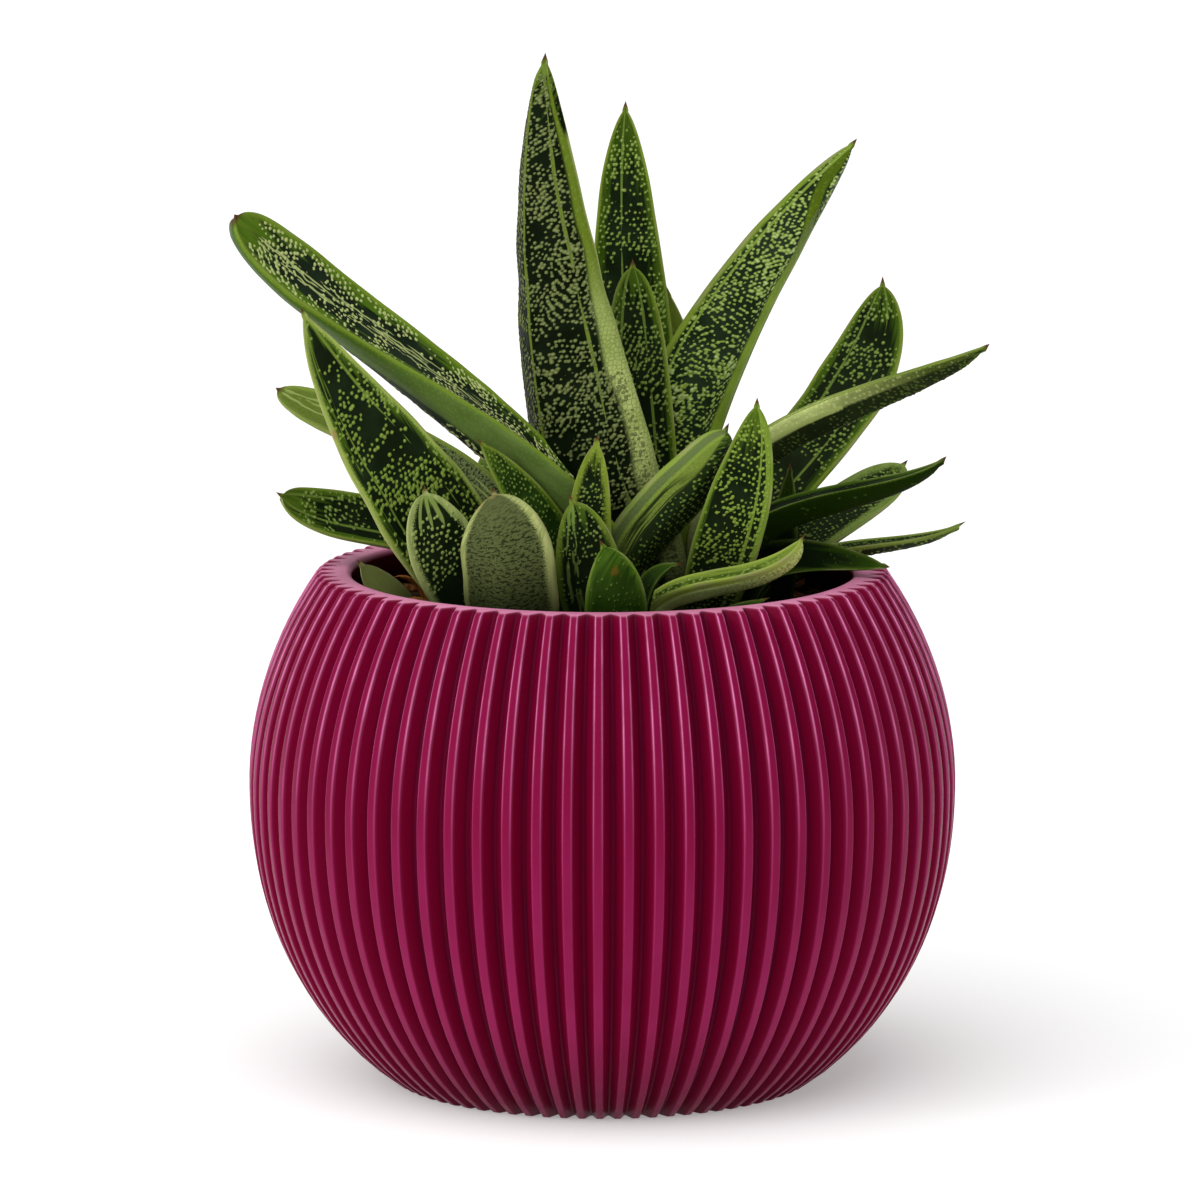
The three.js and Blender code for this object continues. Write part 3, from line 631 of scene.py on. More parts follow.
leafLooks = {
    "dotted": dict(wartRadius=0.41),
    "striped": dict(
        wart=(0.3, 0.41, 0.085), streak=(0.19, 0.285, 0.036), margin=(0.17, 0.255, 0.028), pitch=1.08,
        wartRadius=0.36, cover=1.08, bands=2.4, fringe=0.9, streaks=(-0.88, -0.52), streakWidth=0.6,
        streakBreaks=60.0, keelLine=0.0,
    ),
    "broad": dict(
        dark=(0.006, 0.0135, 0.005), margin=(0.21, 0.29, 0.07), pitch=1.05, wartRadius=0.32, cover=0.96,
        bands=2.0, tipGreen=5.0, streaks=(), marginWidth=1.6,
    ),
    "tall": dict(
        dark=(0.003, 0.0065, 0.002), bloom=(0.007, 0.0125, 0.005), wart=(0.26, 0.305, 0.11),
        wartRimShade=(0.115, 0.14, 0.045), streak=(0.15, 0.215, 0.03), margin=(0.21, 0.25, 0.045),
        edge=(0.23, 0.23, 0.065), plain=(0.105, 0.16, 0.011), plainPale=(0.4, 0.47, 0.165), gloss=0.015,
        pitch=1.02, wide=1.2, wartRadius=0.38, cover=1.1, edgeDots=0.22, bands=2.7, bandHeight=2.3,
        fringe=0.6, tipGreen=8.0, streaks=(0.6,), streakWidth=0.42, keelLine=0.36, plainFlank=(0.77, 1.3),
        tipDrift=(-0.15, -0.42), flankNarrows=0.08, plainWarts=0.0, baseWarts=52.0, paleFrom=(40.0, 76.0),
        edgePale=0.85, cobbles=0.65, marginWraps=0.0,
    ),
    "high": dict(
        dark=(0.0075, 0.0165, 0.0062), bloom=(0.019, 0.035, 0.0165), wart=(0.48, 0.58, 0.27),
        streak=(0.215, 0.31, 0.045), plain=(0.058, 0.094, 0.004), plainPale=(0.27, 0.4, 0.04), pitch=1.06,
        wartRadius=0.37, merge=1.1, cover=1.26, bands=2.6, bandHeight=2.4, fringe=0.9, tipGreen=5.0,
        streaks=(-0.84,), streakWidth=0.6, streakBreaks=60.0, keelLine=0.0, plainFlank=(0.56, 1.3),
        tipDrift=(-1.12, -1.2), plainWarts=0.0, paleFrom=(12.0, 50.0), edgePale=0.35,
    ),
    "second": dict(
        green=(0.026, 0.062, 0.002), wart=(0.34, 0.45, 0.105), pitch=1.12, wartRadius=0.37, cover=0.96,
        edgeDots=0.35, bands=2.1, bandHeight=3.4, fringe=2.4, tipGreen=12.0, mix=0.25, streaks=(0.16,),
    ),
    "sparse": dict(
        green=(0.045, 0.098, 0.005), pitch=1.15, wartRadius=0.38, cover=0.8, bands=2.3, bandHeight=2.8,
        fringe=1.7, tipGreen=7.0, mix=0.35, streaks=(-0.35, 0.52), marginWidth=0.6,
    ),
    "spear": dict(
        green=(0.05, 0.108, 0.006), wart=(0.3, 0.4, 0.08), streak=(0.16, 0.245, 0.036),
        margin=(0.34, 0.44, 0.09), spot=(0.4, 0.19, 0.11), cover=0.8, bands=2.6, bandHeight=3.2,
        fringe=2.0, tipGreen=6.0, mix=0.15, streaks=(-0.55, 0.62, 0.76), streakBreaks=25.0,
        marginWidth=0.78,
    ),
    "fanned": dict(
        streak=(0.23, 0.32, 0.075), margin=(0.37, 0.44, 0.15), wartRadius=0.38, cover=0.4, bands=2.4,
        fringe=1.2, tipGreen=2.5, streaks=(-0.74, -0.34, 0.08, 0.5), streakWidth=0.75, streakBreaks=40.0,
        fan=13.0, marginWidth=1.35,
    ),
    "inner": dict(
        dark=(0.01, 0.029, 0.003), bloom=(0.021, 0.052, 0.006), wart=(0.24, 0.34, 0.056), pitch=1.05,
        wartRadius=0.31, bands=1.9, fringe=1.3, tipGreen=7.0, streaks=(),
    ),
    "pointed": dict(
        green=(0.1, 0.165, 0.01), margin=(0.215, 0.29, 0.034), pitch=1.0, wartRadius=0.3, cover=0.95,
        bands=1.6, fringe=1.3, tipGreen=5.0, streaks=(), marginWidth=1.2,
    ),
    "yellow": dict(
        dark=(0.06, 0.11, 0.01), bloom=(0.1, 0.16, 0.016), green=(0.19, 0.27, 0.022),
        wart=(0.3, 0.37, 0.11), margin=(0.27, 0.345, 0.048), cover=0.4, fringe=4.5, tipGreen=16.0,
        streaks=(),
    ),
    "long": dict(
        dark=(0.0065, 0.0135, 0.0062), bloom=(0.013, 0.024, 0.0125), green=(0.07, 0.15, 0.007),
        wart=(0.47, 0.56, 0.17), streak=(0.42, 0.49, 0.185), margin=(0.175, 0.265, 0.024),
        plain=(0.05, 0.105, 0.007), plainPale=(0.135, 0.205, 0.05), pitch=1.18, wartRadius=0.39,
        cover=0.84, edgeDots=0.2, bands=2.7, bandHeight=5.0, fringe=2.9, tipGreen=11.0,
        streaks=(-0.22, -0.12, -0.03, 0.06, 0.14), streakWidth=0.23, streakBreaks=5.0, streakStart=9.0,
        scribble=0.6, keelLine=0.0, plainFlank=(0.5, 1.3), tipDrift=(-0.45, 0.0), plainWarts=0.0,
        specks=0.6, marginWidth=0.8, marginWraps=0.3,
    ),
    "shaded": dict(
        dark=(0.0085, 0.015, 0.0042), bloom=(0.017, 0.026, 0.0068), wart=(0.078, 0.112, 0.024),
        wartRimShade=(0.055, 0.082, 0.016), streak=(0.34, 0.41, 0.12), margin=(0.17, 0.235, 0.034),
        plain=(0.036, 0.056, 0.006), plainPale=(0.64, 0.74, 0.26), pitch=1.08, wartRadius=0.33, cover=0.95,
        bands=1.7, fringe=0.9, tipGreen=5.0, streaks=(-0.86,), streakWidth=0.5, streakBreaks=60.0,
        streakStart=38.0, keelLine=0.0, plainFlank=(-1.3, -0.84), plainUpper=True, plainWarts=0.0,
        paleFrom=(14.0, 60.0), specks=0.5, marginWraps=0.0,
    ),
    "plain": dict(
        allPlain, green=(0.018, 0.048, 0.003), wart=(0.05, 0.09, 0.014), streak=(0.03, 0.06, 0.008),
        margin=(0.07, 0.12, 0.014), plain=(0.0075, 0.019, 0.0012), plainPale=(0.018, 0.04, 0.003),
        tint=(0.5, 0.8, 0.2), gloss=0.03, wartRadius=0.3, cover=0.55, bands=2.2, fringe=1.4,
        plainWarts=0.5, marginWraps=0.0,
    ),
    "narrow": dict(
        dark=(0.012, 0.024, 0.005), green=(0.07, 0.125, 0.012), wart=(0.11, 0.165, 0.028),
        margin=(0.2, 0.27, 0.05), pitch=0.95, wartRadius=0.3, cover=0.9, bands=1.8, fringe=0.6,
        tipGreen=6.0, mix=0.4, streaks=(), keelLine=0.0, marginWidth=0.6, marginWraps=0.6,
    ),
    "dull": dict(
        allPlain, green=(0.2, 0.27, 0.06), margin=(0.4, 0.45, 0.15), plain=(0.33, 0.39, 0.11),
        plainPale=(0.45, 0.5, 0.19), cover=0.3, bands=1.5, fringe=2.0, plainUpper=True, footShade=12.0,
    ),
    "slanting": dict(
        dark=(0.01, 0.019, 0.004), wart=(0.11, 0.155, 0.046), margin=(0.21, 0.3, 0.045),
        plain=(0.15, 0.215, 0.03), plainPale=(0.27, 0.34, 0.09), strip=(0.112, 0.158, 0.05),
        wartRadius=0.34, cover=1.0, bands=1.8, fringe=1.0, tipGreen=4.0, streaks=(), keelLine=0.0,
        plainFlank=(-1.3, -0.3), plainWarts=0.0, paleFrom=(5.0, 110.0), specks=0.55, lines=0.95,
        scales=0.3, scalesFrom=(3.0, 26.0), scaleSize=1.5, marginWidth=0.35,
    ),
    "scaly": dict(
        allPlain, margin=(0.4, 0.44, 0.16), plain=(0.084, 0.103, 0.034), plainPale=(0.158, 0.182, 0.072),
        spot=(0.34, 0.23, 0.105), cover=0.6, fringe=2.4, scales=0.85, scaleSize=0.92, marginWidth=1.45,
        footShade=24.0,
    ),
    "scalyBack": dict(
        allPlain, streak=(0.29, 0.36, 0.1), margin=(0.2, 0.27, 0.045), plain=(0.12, 0.175, 0.022),
        plainPale=(0.155, 0.195, 0.085), cover=0.35, streaks=(-0.35, -0.1, 0.25), streakWidth=0.4,
        streakBreaks=6.0, scribble=0.4, plainUpper=True, paleFrom=(20.0, 45.0), scales=0.9,
        scalesFrom=(22.0, 36.0), scaleSize=1.0, marginWidth=1.0,
    ),
    "fringed": dict(
        green=(0.05, 0.105, 0.009), streak=(0.19, 0.285, 0.06), pitch=1.05, wartRadius=0.31, cover=0.66,
        bands=2.2, fringe=1.4, tipGreen=5.0, streaks=(0.3, 0.46, 0.6), streakWidth=0.36, streakBreaks=3.0,
        scribble=0.45, marginWidth=1.0,
    ),
    "young": dict(
        dark=(0.01, 0.028, 0.0022), bloom=(0.024, 0.058, 0.004), green=(0.036, 0.088, 0.004),
        wart=(0.15, 0.225, 0.034), margin=(0.15, 0.245, 0.026), pitch=1.2, wartRadius=0.25, cover=0.6,
        bands=1.7, tipGreen=6.0, streaks=(), keelLine=0.0,
    ),
    "pale": dict(
        allPlain, dark=(0.08, 0.135, 0.012), green=(0.15, 0.22, 0.026), wart=(0.34, 0.43, 0.11),
        margin=(0.29, 0.38, 0.06), plain=(0.4, 0.46, 0.14), plainPale=(0.66, 0.9, 0.32), pitch=1.05,
        wartRadius=0.33, cover=1.0, bands=1.6, fringe=2.0, paleFrom=(6.0, 24.0), scales=0.7,
        scalesFrom=(26.0, 12.0), scaleSize=0.9, footShade=7.0,
    ),
}


def centreLine(path, t):
    # the cubic through four stations, spaced by the distances between them (Lagrange's weights)
    stations = np.array(path, dtype=float)
    gaps = np.linalg.norm(np.diff(stations, axis=0), axis=1)
    share = np.concatenate([[0.0], np.cumsum(gaps) / gaps.sum()])
    made = np.zeros((len(t), 3))
    for i in range(4):
        weight = np.ones(len(t))
        for j in range(4):
            if j != i:
                weight = weight * (t - share[j]) / (share[i] - share[j])
        made += weight[:, None] * stations[i]
    return made, gaps.sum()


def spreadAt(leaf, t):
    # a quarter sine from the foot to the belly, then (1 - q^taper)^round to the tip
    rising = leaf["foot"] + (1 - leaf["foot"]) * np.sin(np.pi / 2 * np.clip(t / leaf["belly"], 0, 1))
    q = np.clip((t - leaf["belly"]) / (1 - leaf["belly"]), 0, 1)
    falling = np.maximum(0, 1 - q ** leaf["taper"]) ** leaf["round"]
    return np.where(t < leaf["belly"], rising, falling)


# The warts' pattern, in millimetres and in shares of the pitch
wartPattern = {
    "rowWave": 4.4,                 # how far a row is shifted along the leaf, and the wave's two lengths
    "waveAcross": 6.5,
    "waveAlong": 11.0,
    "sway": 1.1,                    # the same for a column, across
    "swayAcross": 7.0,
    "swayAlong": 5.0,
    "strayAcross": 0.50,
    "strayAlong": 0.45,
    "bandAcross": 9.0,
    "clusters": (3.2, 2.0),         # small groups, across and along, and their share in the bands
    "clusterShare": 0.28,
    "smallest": 0.76,
    "sizeRange": 0.46,
    "farthest": 3.0,
}


def rowWave(across, along, seed):
    noise = smoothNoise(across / wartPattern["waveAcross"], along / wartPattern["waveAlong"], seed + 3)
    return wartPattern["rowWave"] * (noise - 0.5)


def wartField(across, along, tipGap, look, seed, cover, spread):
    # how far each point is from the warts, 1 at their rim: warts stand in cells of one pitch, each shifted by
    # its hash, in rows that wave, and a slow noise gathers them in bands; near ones run together, because the
    # distance is sqrt(-ln(sum of exp(-k d^2)) / k) over the nine cells around. The waves' slopes are taken
    # off each distance, which keeps the warts round.
    pattern = wartPattern
    pitch = look["pitch"] * spread
    wave = rowWave(across, along, seed)
    leanAcross = (rowWave(across + 0.1, along, seed) - wave) / 0.1
    leanAlong = np.maximum((rowWave(across, along + 0.1, seed) - wave) / 0.1, -0.5)
    sway = smoothNoise(across / pattern["swayAcross"], along / pattern["swayAlong"], seed + 5) - 0.5
    x = (across / look["wide"] + pattern["sway"] * sway) / pitch
    y = (along + wave) / pitch
    column, row = np.floor(x), np.floor(y)
    total = np.full(x.shape, math.exp(-pattern["farthest"] ** 2 * look["merge"]))
    for i in (-1, 0, 1):
        for j in (-1, 0, 1):
            ci, cj = column + i, row + j
            stray = pattern["strayAcross"] * (cellHash(ci, cj, seed) - 0.5)
            cx = ci + 0.5 + stray + 0.5 * np.mod(cj, 2)
            cy = cj + 0.5 + pattern["strayAlong"] * (cellHash(ci, cj, seed + 1) - 0.5)
            band = smoothNoise(cx * pitch / pattern["bandAcross"], cy * pitch / look["bandHeight"], seed + 9)
            clusterAcross, clusterAlong = pattern["clusters"]
            cluster = smoothNoise(cx * pitch / clusterAcross, cy * pitch / clusterAlong, seed + 12)
            band = (1 - pattern["clusterShare"]) * band + pattern["clusterShare"] * cluster
            share = cover + look["bands"] * (band - 0.5)
            size = pattern["smallest"] + pattern["sizeRange"] * cellHash(ci, cj, seed + 2)
            size = look["wartRadius"] * spread * size / pitch
            size = size * easeBetween(share - cellHash(ci, cj, seed + 4), -0.04, 0.10)
            sideways = x - cx
            lengthways = (y - cy - leanAcross * look["wide"] * sideways) / (1 + leanAlong)
            gap = np.hypot(sideways, lengthways) / np.maximum(size, 1e-3)
            gap = np.minimum(pattern["farthest"], gap)
            total += np.exp(-look["merge"] * gap * gap)
    joined = np.sqrt(np.maximum(0.0, -np.log(total) / look["merge"]))
    fade = easeBetween(tipGap, 0.2 * look["tipGreen"], 0.65 * look["tipGreen"])
    return joined + 2.0 * (1 - fade)


def leafSections(leaf):
    # the cross-section's points from the right margin over the upper side and back under: place across from
    # -1 to 1, which side (0 upper, 1 margin, 2 lower), and the angle round the margin; the leaf's "fine"
    # side, which shows, has the closer points
    fineStep, coarseStep = 0.95 * leaf["step"], 1.82 * leaf["step"]
    upperStep, lowerStep = (coarseStep, fineStep) if leaf["fine"] == "lower" else (fineStep, coarseStep)
    upper = np.linspace(1, -1, max(10, round(leaf["width"] / upperStep)) + 1)
    lower = np.linspace(-1, 1, max(12, round(1.12 * leaf["width"] / lowerStep)) + 1)
    turns = np.radians([45.0, 0.0, -45.0])
    xs = np.concatenate([upper, -np.ones(3), lower, np.ones(3)])
    kinds = np.repeat([0, 1, 2, 1], [len(upper), 3, len(lower), 3])
    rounds = np.concatenate([np.full(len(upper), np.pi / 2), turns, np.full(len(lower), -np.pi / 2), -turns])
    return xs, kinds, rounds


def plainStretch(look, place, kinds, s, tipGap, seed):
    # 1 where the leaf is plain green, with a soft wandering border
    plain = np.zeros(place.shape)
    if look["plainFlank"]:
        start, end = look["plainFlank"]
        startDrift, endDrift = look["tipDrift"]
        start = start + startDrift * (1 - easeBetween(tipGap, 8, 32))
        start = start + look["flankNarrows"] * (1 - easeBetween(tipGap, 35, 75))
        end = end + endDrift * (1 - easeBetween(tipGap, 12, 30))
        wander = 0.10 * (smoothNoise(s / 9.0, s * 0, seed + 40) - 0.5)
        plain = easeBetween(place + wander, start - 0.05, start + 0.05)
        plain = plain * (1 - easeBetween(place + wander, end - 0.05, end + 0.05))
        plain = np.where(kinds == 0, 0.0, plain)
    if look["plainUpper"]:
        plain = np.where(kinds == 0, 1.0, plain)
    return plain


def streakField(look, place, share, half, s, tipGap, seed):
    # how far each point is from the pale streaks, 1 at their rim; each runs along the leaf, drifts and breaks
    streak = np.full(place.shape, 3.0)
    for index, at in enumerate(look["streaks"]):
        drift = 0.10 * (smoothNoise(s / 22.0, s * 0 + index, seed + 30) - 0.5)
        jump = look["scribble"] * (smoothNoise(s / 1.7, s * 0 + 5 * index, seed + 38) - 0.5)
        gap = np.abs((place - at * (0.75 + 0.25 * share) - drift) * half - jump)
        broken = 1.2 * (smoothNoise(s / look["streakBreaks"], s * 0 + 7 * index, seed + 33) - 0.25)
        width = look["streakWidth"] * np.clip(broken + 0.35, 0.05, 1.0)
        streak = np.minimum(streak, gap / width)
    return streak


def makeLeaf(node, leaf, material, look, seed):
    leaf = {**leafShape, **leaf}
    root, length = centreLine(leaf["path"], np.array([0.0]))
    tip, _ = centreLine(leaf["path"], np.array([1.0]))
    rows = int(length / leaf["step"])
    blade = 1 - leaf["spine"] / length
    t = blade * (1 - (1 - np.arange(rows) / (rows - 1)) ** 1.15)    # closer together towards the tip
    centre, _ = centreLine(leaf["path"], t)
    ahead, _ = centreLine(leaf["path"], t + 1e-3)
    behind, _ = centreLine(leaf["path"], t - 1e-3)
    tangent = ahead - behind
    tangent /= np.linalg.norm(tangent, axis=1)[:, None]
    faces = math.radians(leaf["faces"])
    level = np.array([-math.sin(faces), math.cos(faces), 0.0])
    over = level[None, :] - (tangent @ level)[:, None] * tangent
    over /= np.linalg.norm(over, axis=1)[:, None]
    up = np.cross(tangent, over)
    turn = np.radians(leaf["turn"] + leaf["twist"] * t)[:, None]
    wide = over * np.cos(turn) + up * np.sin(turn)
    face = up * np.cos(turn) - over * np.sin(turn)

    share = spreadAt(leaf, t / blade)
    wavy = 1 + 0.05 * (smoothNoise(t * length / 9.0, t * 0.0, seed) - 0.5) * np.minimum(1, 8 * (1 - t))
    half = np.maximum(leaf["width"] / 2 * share * wavy, 0.7)
    deep = np.minimum(leaf["thick"] * (0.2 + 0.8 * np.sqrt(share)) * (1 - 0.35 * t), 1.6 * half + 0.2)
    margin = 0.11 * deep
    share, half, deep, margin = (values[:, None] for values in (share, half, deep, margin))

    # upper side: a shallow hollow; lower side: two flanks that meet in a rounded keel
    xs, kinds, rounds = leafSections(leaf)
    x = np.ones((rows, 1)) * xs
    s = (t * length)[:, None] * np.ones((1, len(xs)))
    rise = 1 - np.sqrt(x * x + 0.07**2) + 0.07
    shifted = x + leaf["keel"] * (1 - np.abs(x))
    v = np.where(kinds == 0, margin - leaf["hollow"] * deep * (1 - x * x), 0.0)
    below = -margin - 0.78 * deep * (0.75 * np.clip(rise, 0, 1) + 0.25 * (1 - shifted**2))
    v = np.where(kinds == 2, below, v)
    v = np.where(kinds == 1, margin * np.sin(rounds), v)
    place = np.where(kinds == 2, shifted, x)
    w = place * half
    # the margin is rounded: its corners are drawn in
    soft = np.minimum(0.45 * margin, 0.2 * half)
    near = easeBetween(np.abs(place), 0.80, 1.0)
    w = w - np.sign(w) * soft * np.where(kinds == 1, 1 - np.cos(rounds), near)

    # the way round the section from its first point gives the place across and the distance from the edges
    stepW, stepV = np.diff(w, axis=1, prepend=w[:, :1]), np.diff(v, axis=1, prepend=v[:, :1])
    run = np.cumsum(np.hypot(stepW, stepV), axis=1)
    upperEnd = np.count_nonzero(kinds == 0) - 1
    across = run[:, upperEnd // 2, None] - run
    roundGap = (1 - look["marginWraps"]) * margin * (np.pi / 2 - rounds)
    upperGap = np.minimum(run, run[:, upperEnd, None] - run)
    lowerGap = np.minimum(run - run[:, upperEnd + 4, None], run[:, -4, None] - run)
    edgeGap = np.where(kinds == 0, upperGap, roundGap + np.where(kinds == 2, lowerGap, 0.0))
    tipGap = length - s

    # warts, raised a little, fewer on a plain flank and wider spaced on the side with fewer points
    plain = plainStretch(look, place, kinds, s, tipGap, seed)
    bare = plain * (1.0 if look["plainWarts"] else 2.5)
    if look["baseWarts"]:
        bare = bare * (1 - easeBetween(tipGap, look["baseWarts"], 1.8 * look["baseWarts"]))
    cover = look["cover"] * (1 - (1 - look["plainWarts"]) * bare) + look["edgeDots"] * (2 * np.abs(place) - 1)
    coarse = kinds == (0 if leaf["fine"] == "lower" else 2)
    spread = np.where(coarse, 1.4, 1.0) * np.ones((rows, 1))
    wart = wartField(across, s, tipGap, look, seed, cover, spread)
    wart = wart + 2.0 * (1 - easeBetween(edgeGap, 0.2, 0.2 + 0.25 * look["fringe"]))
    wart = np.where(kinds == 1, 3.0, wart)
    relief = look["relief"] * np.exp(-1.1 * wart * wart) * np.minimum(1, half / 3.0)
    relief = relief * easeBetween(edgeGap, 0.3, 1.6)
    ripple = 0.16 * (smoothNoise(across / 3.2, s / 4.5, seed + 20) - 0.5) * np.minimum(1, half / 4)
    v = v + np.where(kinds == 0, relief + ripple, 0) - np.where(kinds == 2, relief + ripple, 0)

    # streaks, the line on the keel, and blemishes
    streak = streakField(look, place, share, half, s, tipGap, seed)
    if look["keelLine"]:
        width = look["keelLine"] * (0.7 + 0.6 * smoothNoise(s / 6.0, s * 0, seed + 36))
        streak = np.minimum(streak, np.where(kinds == 2, np.abs(x) * half / width, 3.0))
    if look["fan"]:
        streak = streak + 2.0 * easeBetween(tipGap, 0.6 * look["fan"], look["fan"])
    streak = streak + 2.0 * easeBetween(look["streakStart"] - tipGap, 0, 2)
    spot = np.zeros(x.shape)
    for at, down, radius in leaf["spots"]:
        gap = np.hypot((place - at) * half, tipGap - down) / radius
        gap = gap + 0.8 * (smoothNoise(across / 0.9, s / 0.9, seed + 42) - 0.5)
        spot = np.maximum(spot, 1 - easeBetween(gap, 0.5, 1.2))

    points = centre[:, None, :] + wide[:, None, :] * w[..., None] + face[:, None, :] * v[..., None]
    points = np.concatenate([points.reshape(-1, 3), root, tip])
    # each with its values at the two closing points
    fields = {
        "wart": (wart, 3.0, 3.0),
        "streak": (streak, 3.0, 3.0),
        "edgeGap": (edgeGap, 0.0, 0.0),
        "tipGap": (tipGap, length, 0.0),
        "plain": (plain, 0.0, 0.0),
        "spot": (spot, 0.0, 0.0),
    }
    attributes = {label: np.append(grid.ravel(), ends) for label, (grid, *ends) in fields.items()}
    places = np.stack([across, s, np.zeros(s.shape)], axis=-1).reshape(-1, 3)
    attributes["place"] = np.concatenate([places, [[0.0, 0.0, 0.0], [0.0, length, 0.0]]])
    words = node.split("_")
    name = words[0] + "".join(word.capitalize() for word in words[1:])
    makePiece(name, points, tubeFaces(rows, len(xs)), attributes, material, node)


def leafMaterial(name, look):
    shade = Shading(name)
    place = shade.read("place", "Vector")
    wart = shade.read("wart")
    edgeGap = shade.read("edgeGap")
    tipGap = shade.read("tipGap")
    slow = shade.noise(place, 0.11)
    lengthwise = shade.noise(place, 0.8, stretch=(1.0, 0.07, 1.0))
    fine = shade.noise(place, 3.6, roughness=0.6)

    # dark ground, greener towards the margin and the tip
    ground = shade.mix(shade.ease(slow, 0.35, 0.7), look["dark"], look["bloom"])
    wander = 0.55 * look["fringe"]
    reach = shade.math("ADD", edgeGap, shade.ease(lengthwise, 0.3, 0.7, -wander, wander))
    fringe = shade.ease(reach, 0.45 * look["fringe"], 1.25 * look["fringe"], 1.0, 0.0)
    tipReach = shade.math("ADD", tipGap, shade.ease(lengthwise, 0.3, 0.7, -5.0, 5.0))
    tipShare = shade.ease(tipReach, 0.4 * look["tipGreen"], 1.4 * look["tipGreen"], 1.0, 0.0)
    greenShare = shade.math("MULTIPLY", shade.math("MAXIMUM", fringe, tipShare), 0.9)
    greens = shade.mix(shade.ease(lengthwise, 0.35, 0.65, 0.0, look["mix"]), look["green"], look["margin"])
    marked = shade.mix(greenShare, ground, greens)

    # plain flanks: green, paler towards the soil, with fine flecks or dark scales
    palerShare = shade.ease(tipGap, *look["paleFrom"], 0.0, 0.95)
    paler = shade.math("MULTIPLY", palerShare, shade.ease(slow, 0.2, 0.8, 0.5, 1.0))
    if look["edgePale"]:
        paler = shade.math("MAXIMUM", paler, shade.ease(edgeGap, 0.5, 1.7, look["edgePale"], 0.0))
    flank = shade.mix(paler, look["plain"], look["plainPale"])
    flecked = shade.ease(tipGap, *look["paleFrom"], 0.3, 1.0)
    fleckShare = shade.math("MULTIPLY", shade.ease(fine, 0.48, 0.70, 0.0, 0.5), flecked)
    flank = shade.mix(fleckShare, flank, look["plainPale"])
    if look["specks"]:
        specks = shade.ease(shade.cells(place, "F1", 0.75), 0.14, 0.30, look["specks"], 0.0)
        flank = shade.mix(shade.math("MULTIPLY", specks, flecked), flank, look["plainPale"])
    if look["cobbles"]:
        gaps = shade.cells(place, "DISTANCE_TO_EDGE", 0.95, randomness=0.7)
        gapShare = shade.ease(gaps, 0.03, 0.13, look["cobbles"], 0.0)
        gapShare = shade.math("MULTIPLY", gapShare, shade.ease(tipGap, 40.0, 70.0))
        flank = shade.mix(gapShare, flank, look["plain"])
    if look["lines"]:
        # a strip beside the margin, a ridge with the margin's tone beside that, then dark lines
        flank = shade.mix(shade.ease(edgeGap, 2.7, 3.1, 0.75, 0.0), flank, look["margin"])
        flank = shade.mix(shade.ease(edgeGap, 1.9, 2.4, 0.95, 0.0), flank, look["strip"])
        grooves = shade.noise(place, 1.7, detail=2.0, stretch=(1.0, 0.03, 1.0))
        lineShare = shade.ease(grooves, 0.46, 0.54, 0.0, look["lines"])
        lineShare = shade.math("MULTIPLY", lineShare, shade.ease(edgeGap, 2.7, 3.3))
        lineShare = shade.math("MULTIPLY", lineShare, shade.ease(tipGap, 10.0, 22.0))
        flank = shade.mix(lineShare, flank, look["dark"])
    if look["scales"]:
        scales = shade.noise(place, look["scaleSize"], detail=2.5, roughness=0.7, stretch=(1.0, 2.2, 1.0))
        scaleShare = shade.ease(scales, 0.43, 0.51, look["scales"], 0.0)
        scaleShare = shade.math("MULTIPLY", scaleShare, shade.ease(tipGap, *look["scalesFrom"], 0.2, 1.0))
        flank = shade.mix(scaleShare, flank, look["dark"])
    tone = shade.mix(shade.read("plain"), marked, flank)

    # streaks and warts
    tone = shade.mix(shade.ease(shade.read("streak"), 0.7, 1.25, 0.85, 0.0), tone, look["streak"])
    # painted shade: each wart darkens from its middle towards its rim, as its dome is shaded
    wartTone = shade.mix(shade.ease(wart, 0.1, 0.9), look["wart"], look["wartRimShade"] or look["streak"])
    tone = shade.mix(shade.ease(wart, 0.82, 1.12, 1.0, 0.0), tone, wartTone)

    # the margin is a pale band with a thin dry line, the spine is brown, and the foot of the leaf, down among
    # the others, is darkened by painted shade
    wide = look["marginWidth"]
    ragged = shade.math("ADD", edgeGap, shade.ease(fine, 0.3, 0.7, -0.4 * wide, 0.4 * wide))
    marginShare = shade.ease(ragged, 0.6 * wide, 1.5 * wide, 1.0, 0.0)
    marginTone = shade.mix(shade.ease(lengthwise, 0.35, 0.7, 0.0, 0.45), look["margin"], look["green"])
    tone = shade.mix(marginShare, tone, marginTone)
    edgeTone = shade.mix(shade.ease(slow, 0.4, 0.6), look["margin"], look["edge"])
    tone = shade.mix(shade.ease(edgeGap, 0.02, 0.30, 0.75, 0.0), tone, edgeTone)
    tone = shade.mix(shade.math("MULTIPLY", shade.read("spot"), 0.5), tone, look["spot"])
    tone = shade.mix(shade.ease(tipGap, 0.9, 2.2, 1.0, 0.0), tone, look["spine"])
    footShare = shade.ease(shade.part(place, 1), 0.15 * look["footShade"], look["footShade"], 0.85, 0.0)
    tone = shade.mix(footShare, tone, look["dark"])

    rough = shade.ease(fine, 0.3, 0.7, -0.05, 0.10)
    rough = shade.math("ADD", shade.ease(wart, 0.6, 1.2, 0.50, 0.38), rough)
    skin = shade.bump(fine, 0.00012, 0.35)
    ribbed = shade.bump(lengthwise, 0.00030, 0.35, skin)
    domes = shade.bump(shade.ease(wart, 0.2, 1.25, 1.0, 0.0), 0.00028, 0.7, ribbed)
    return shade.finish(tone, rough, domes, look["gloss"], look["tint"])


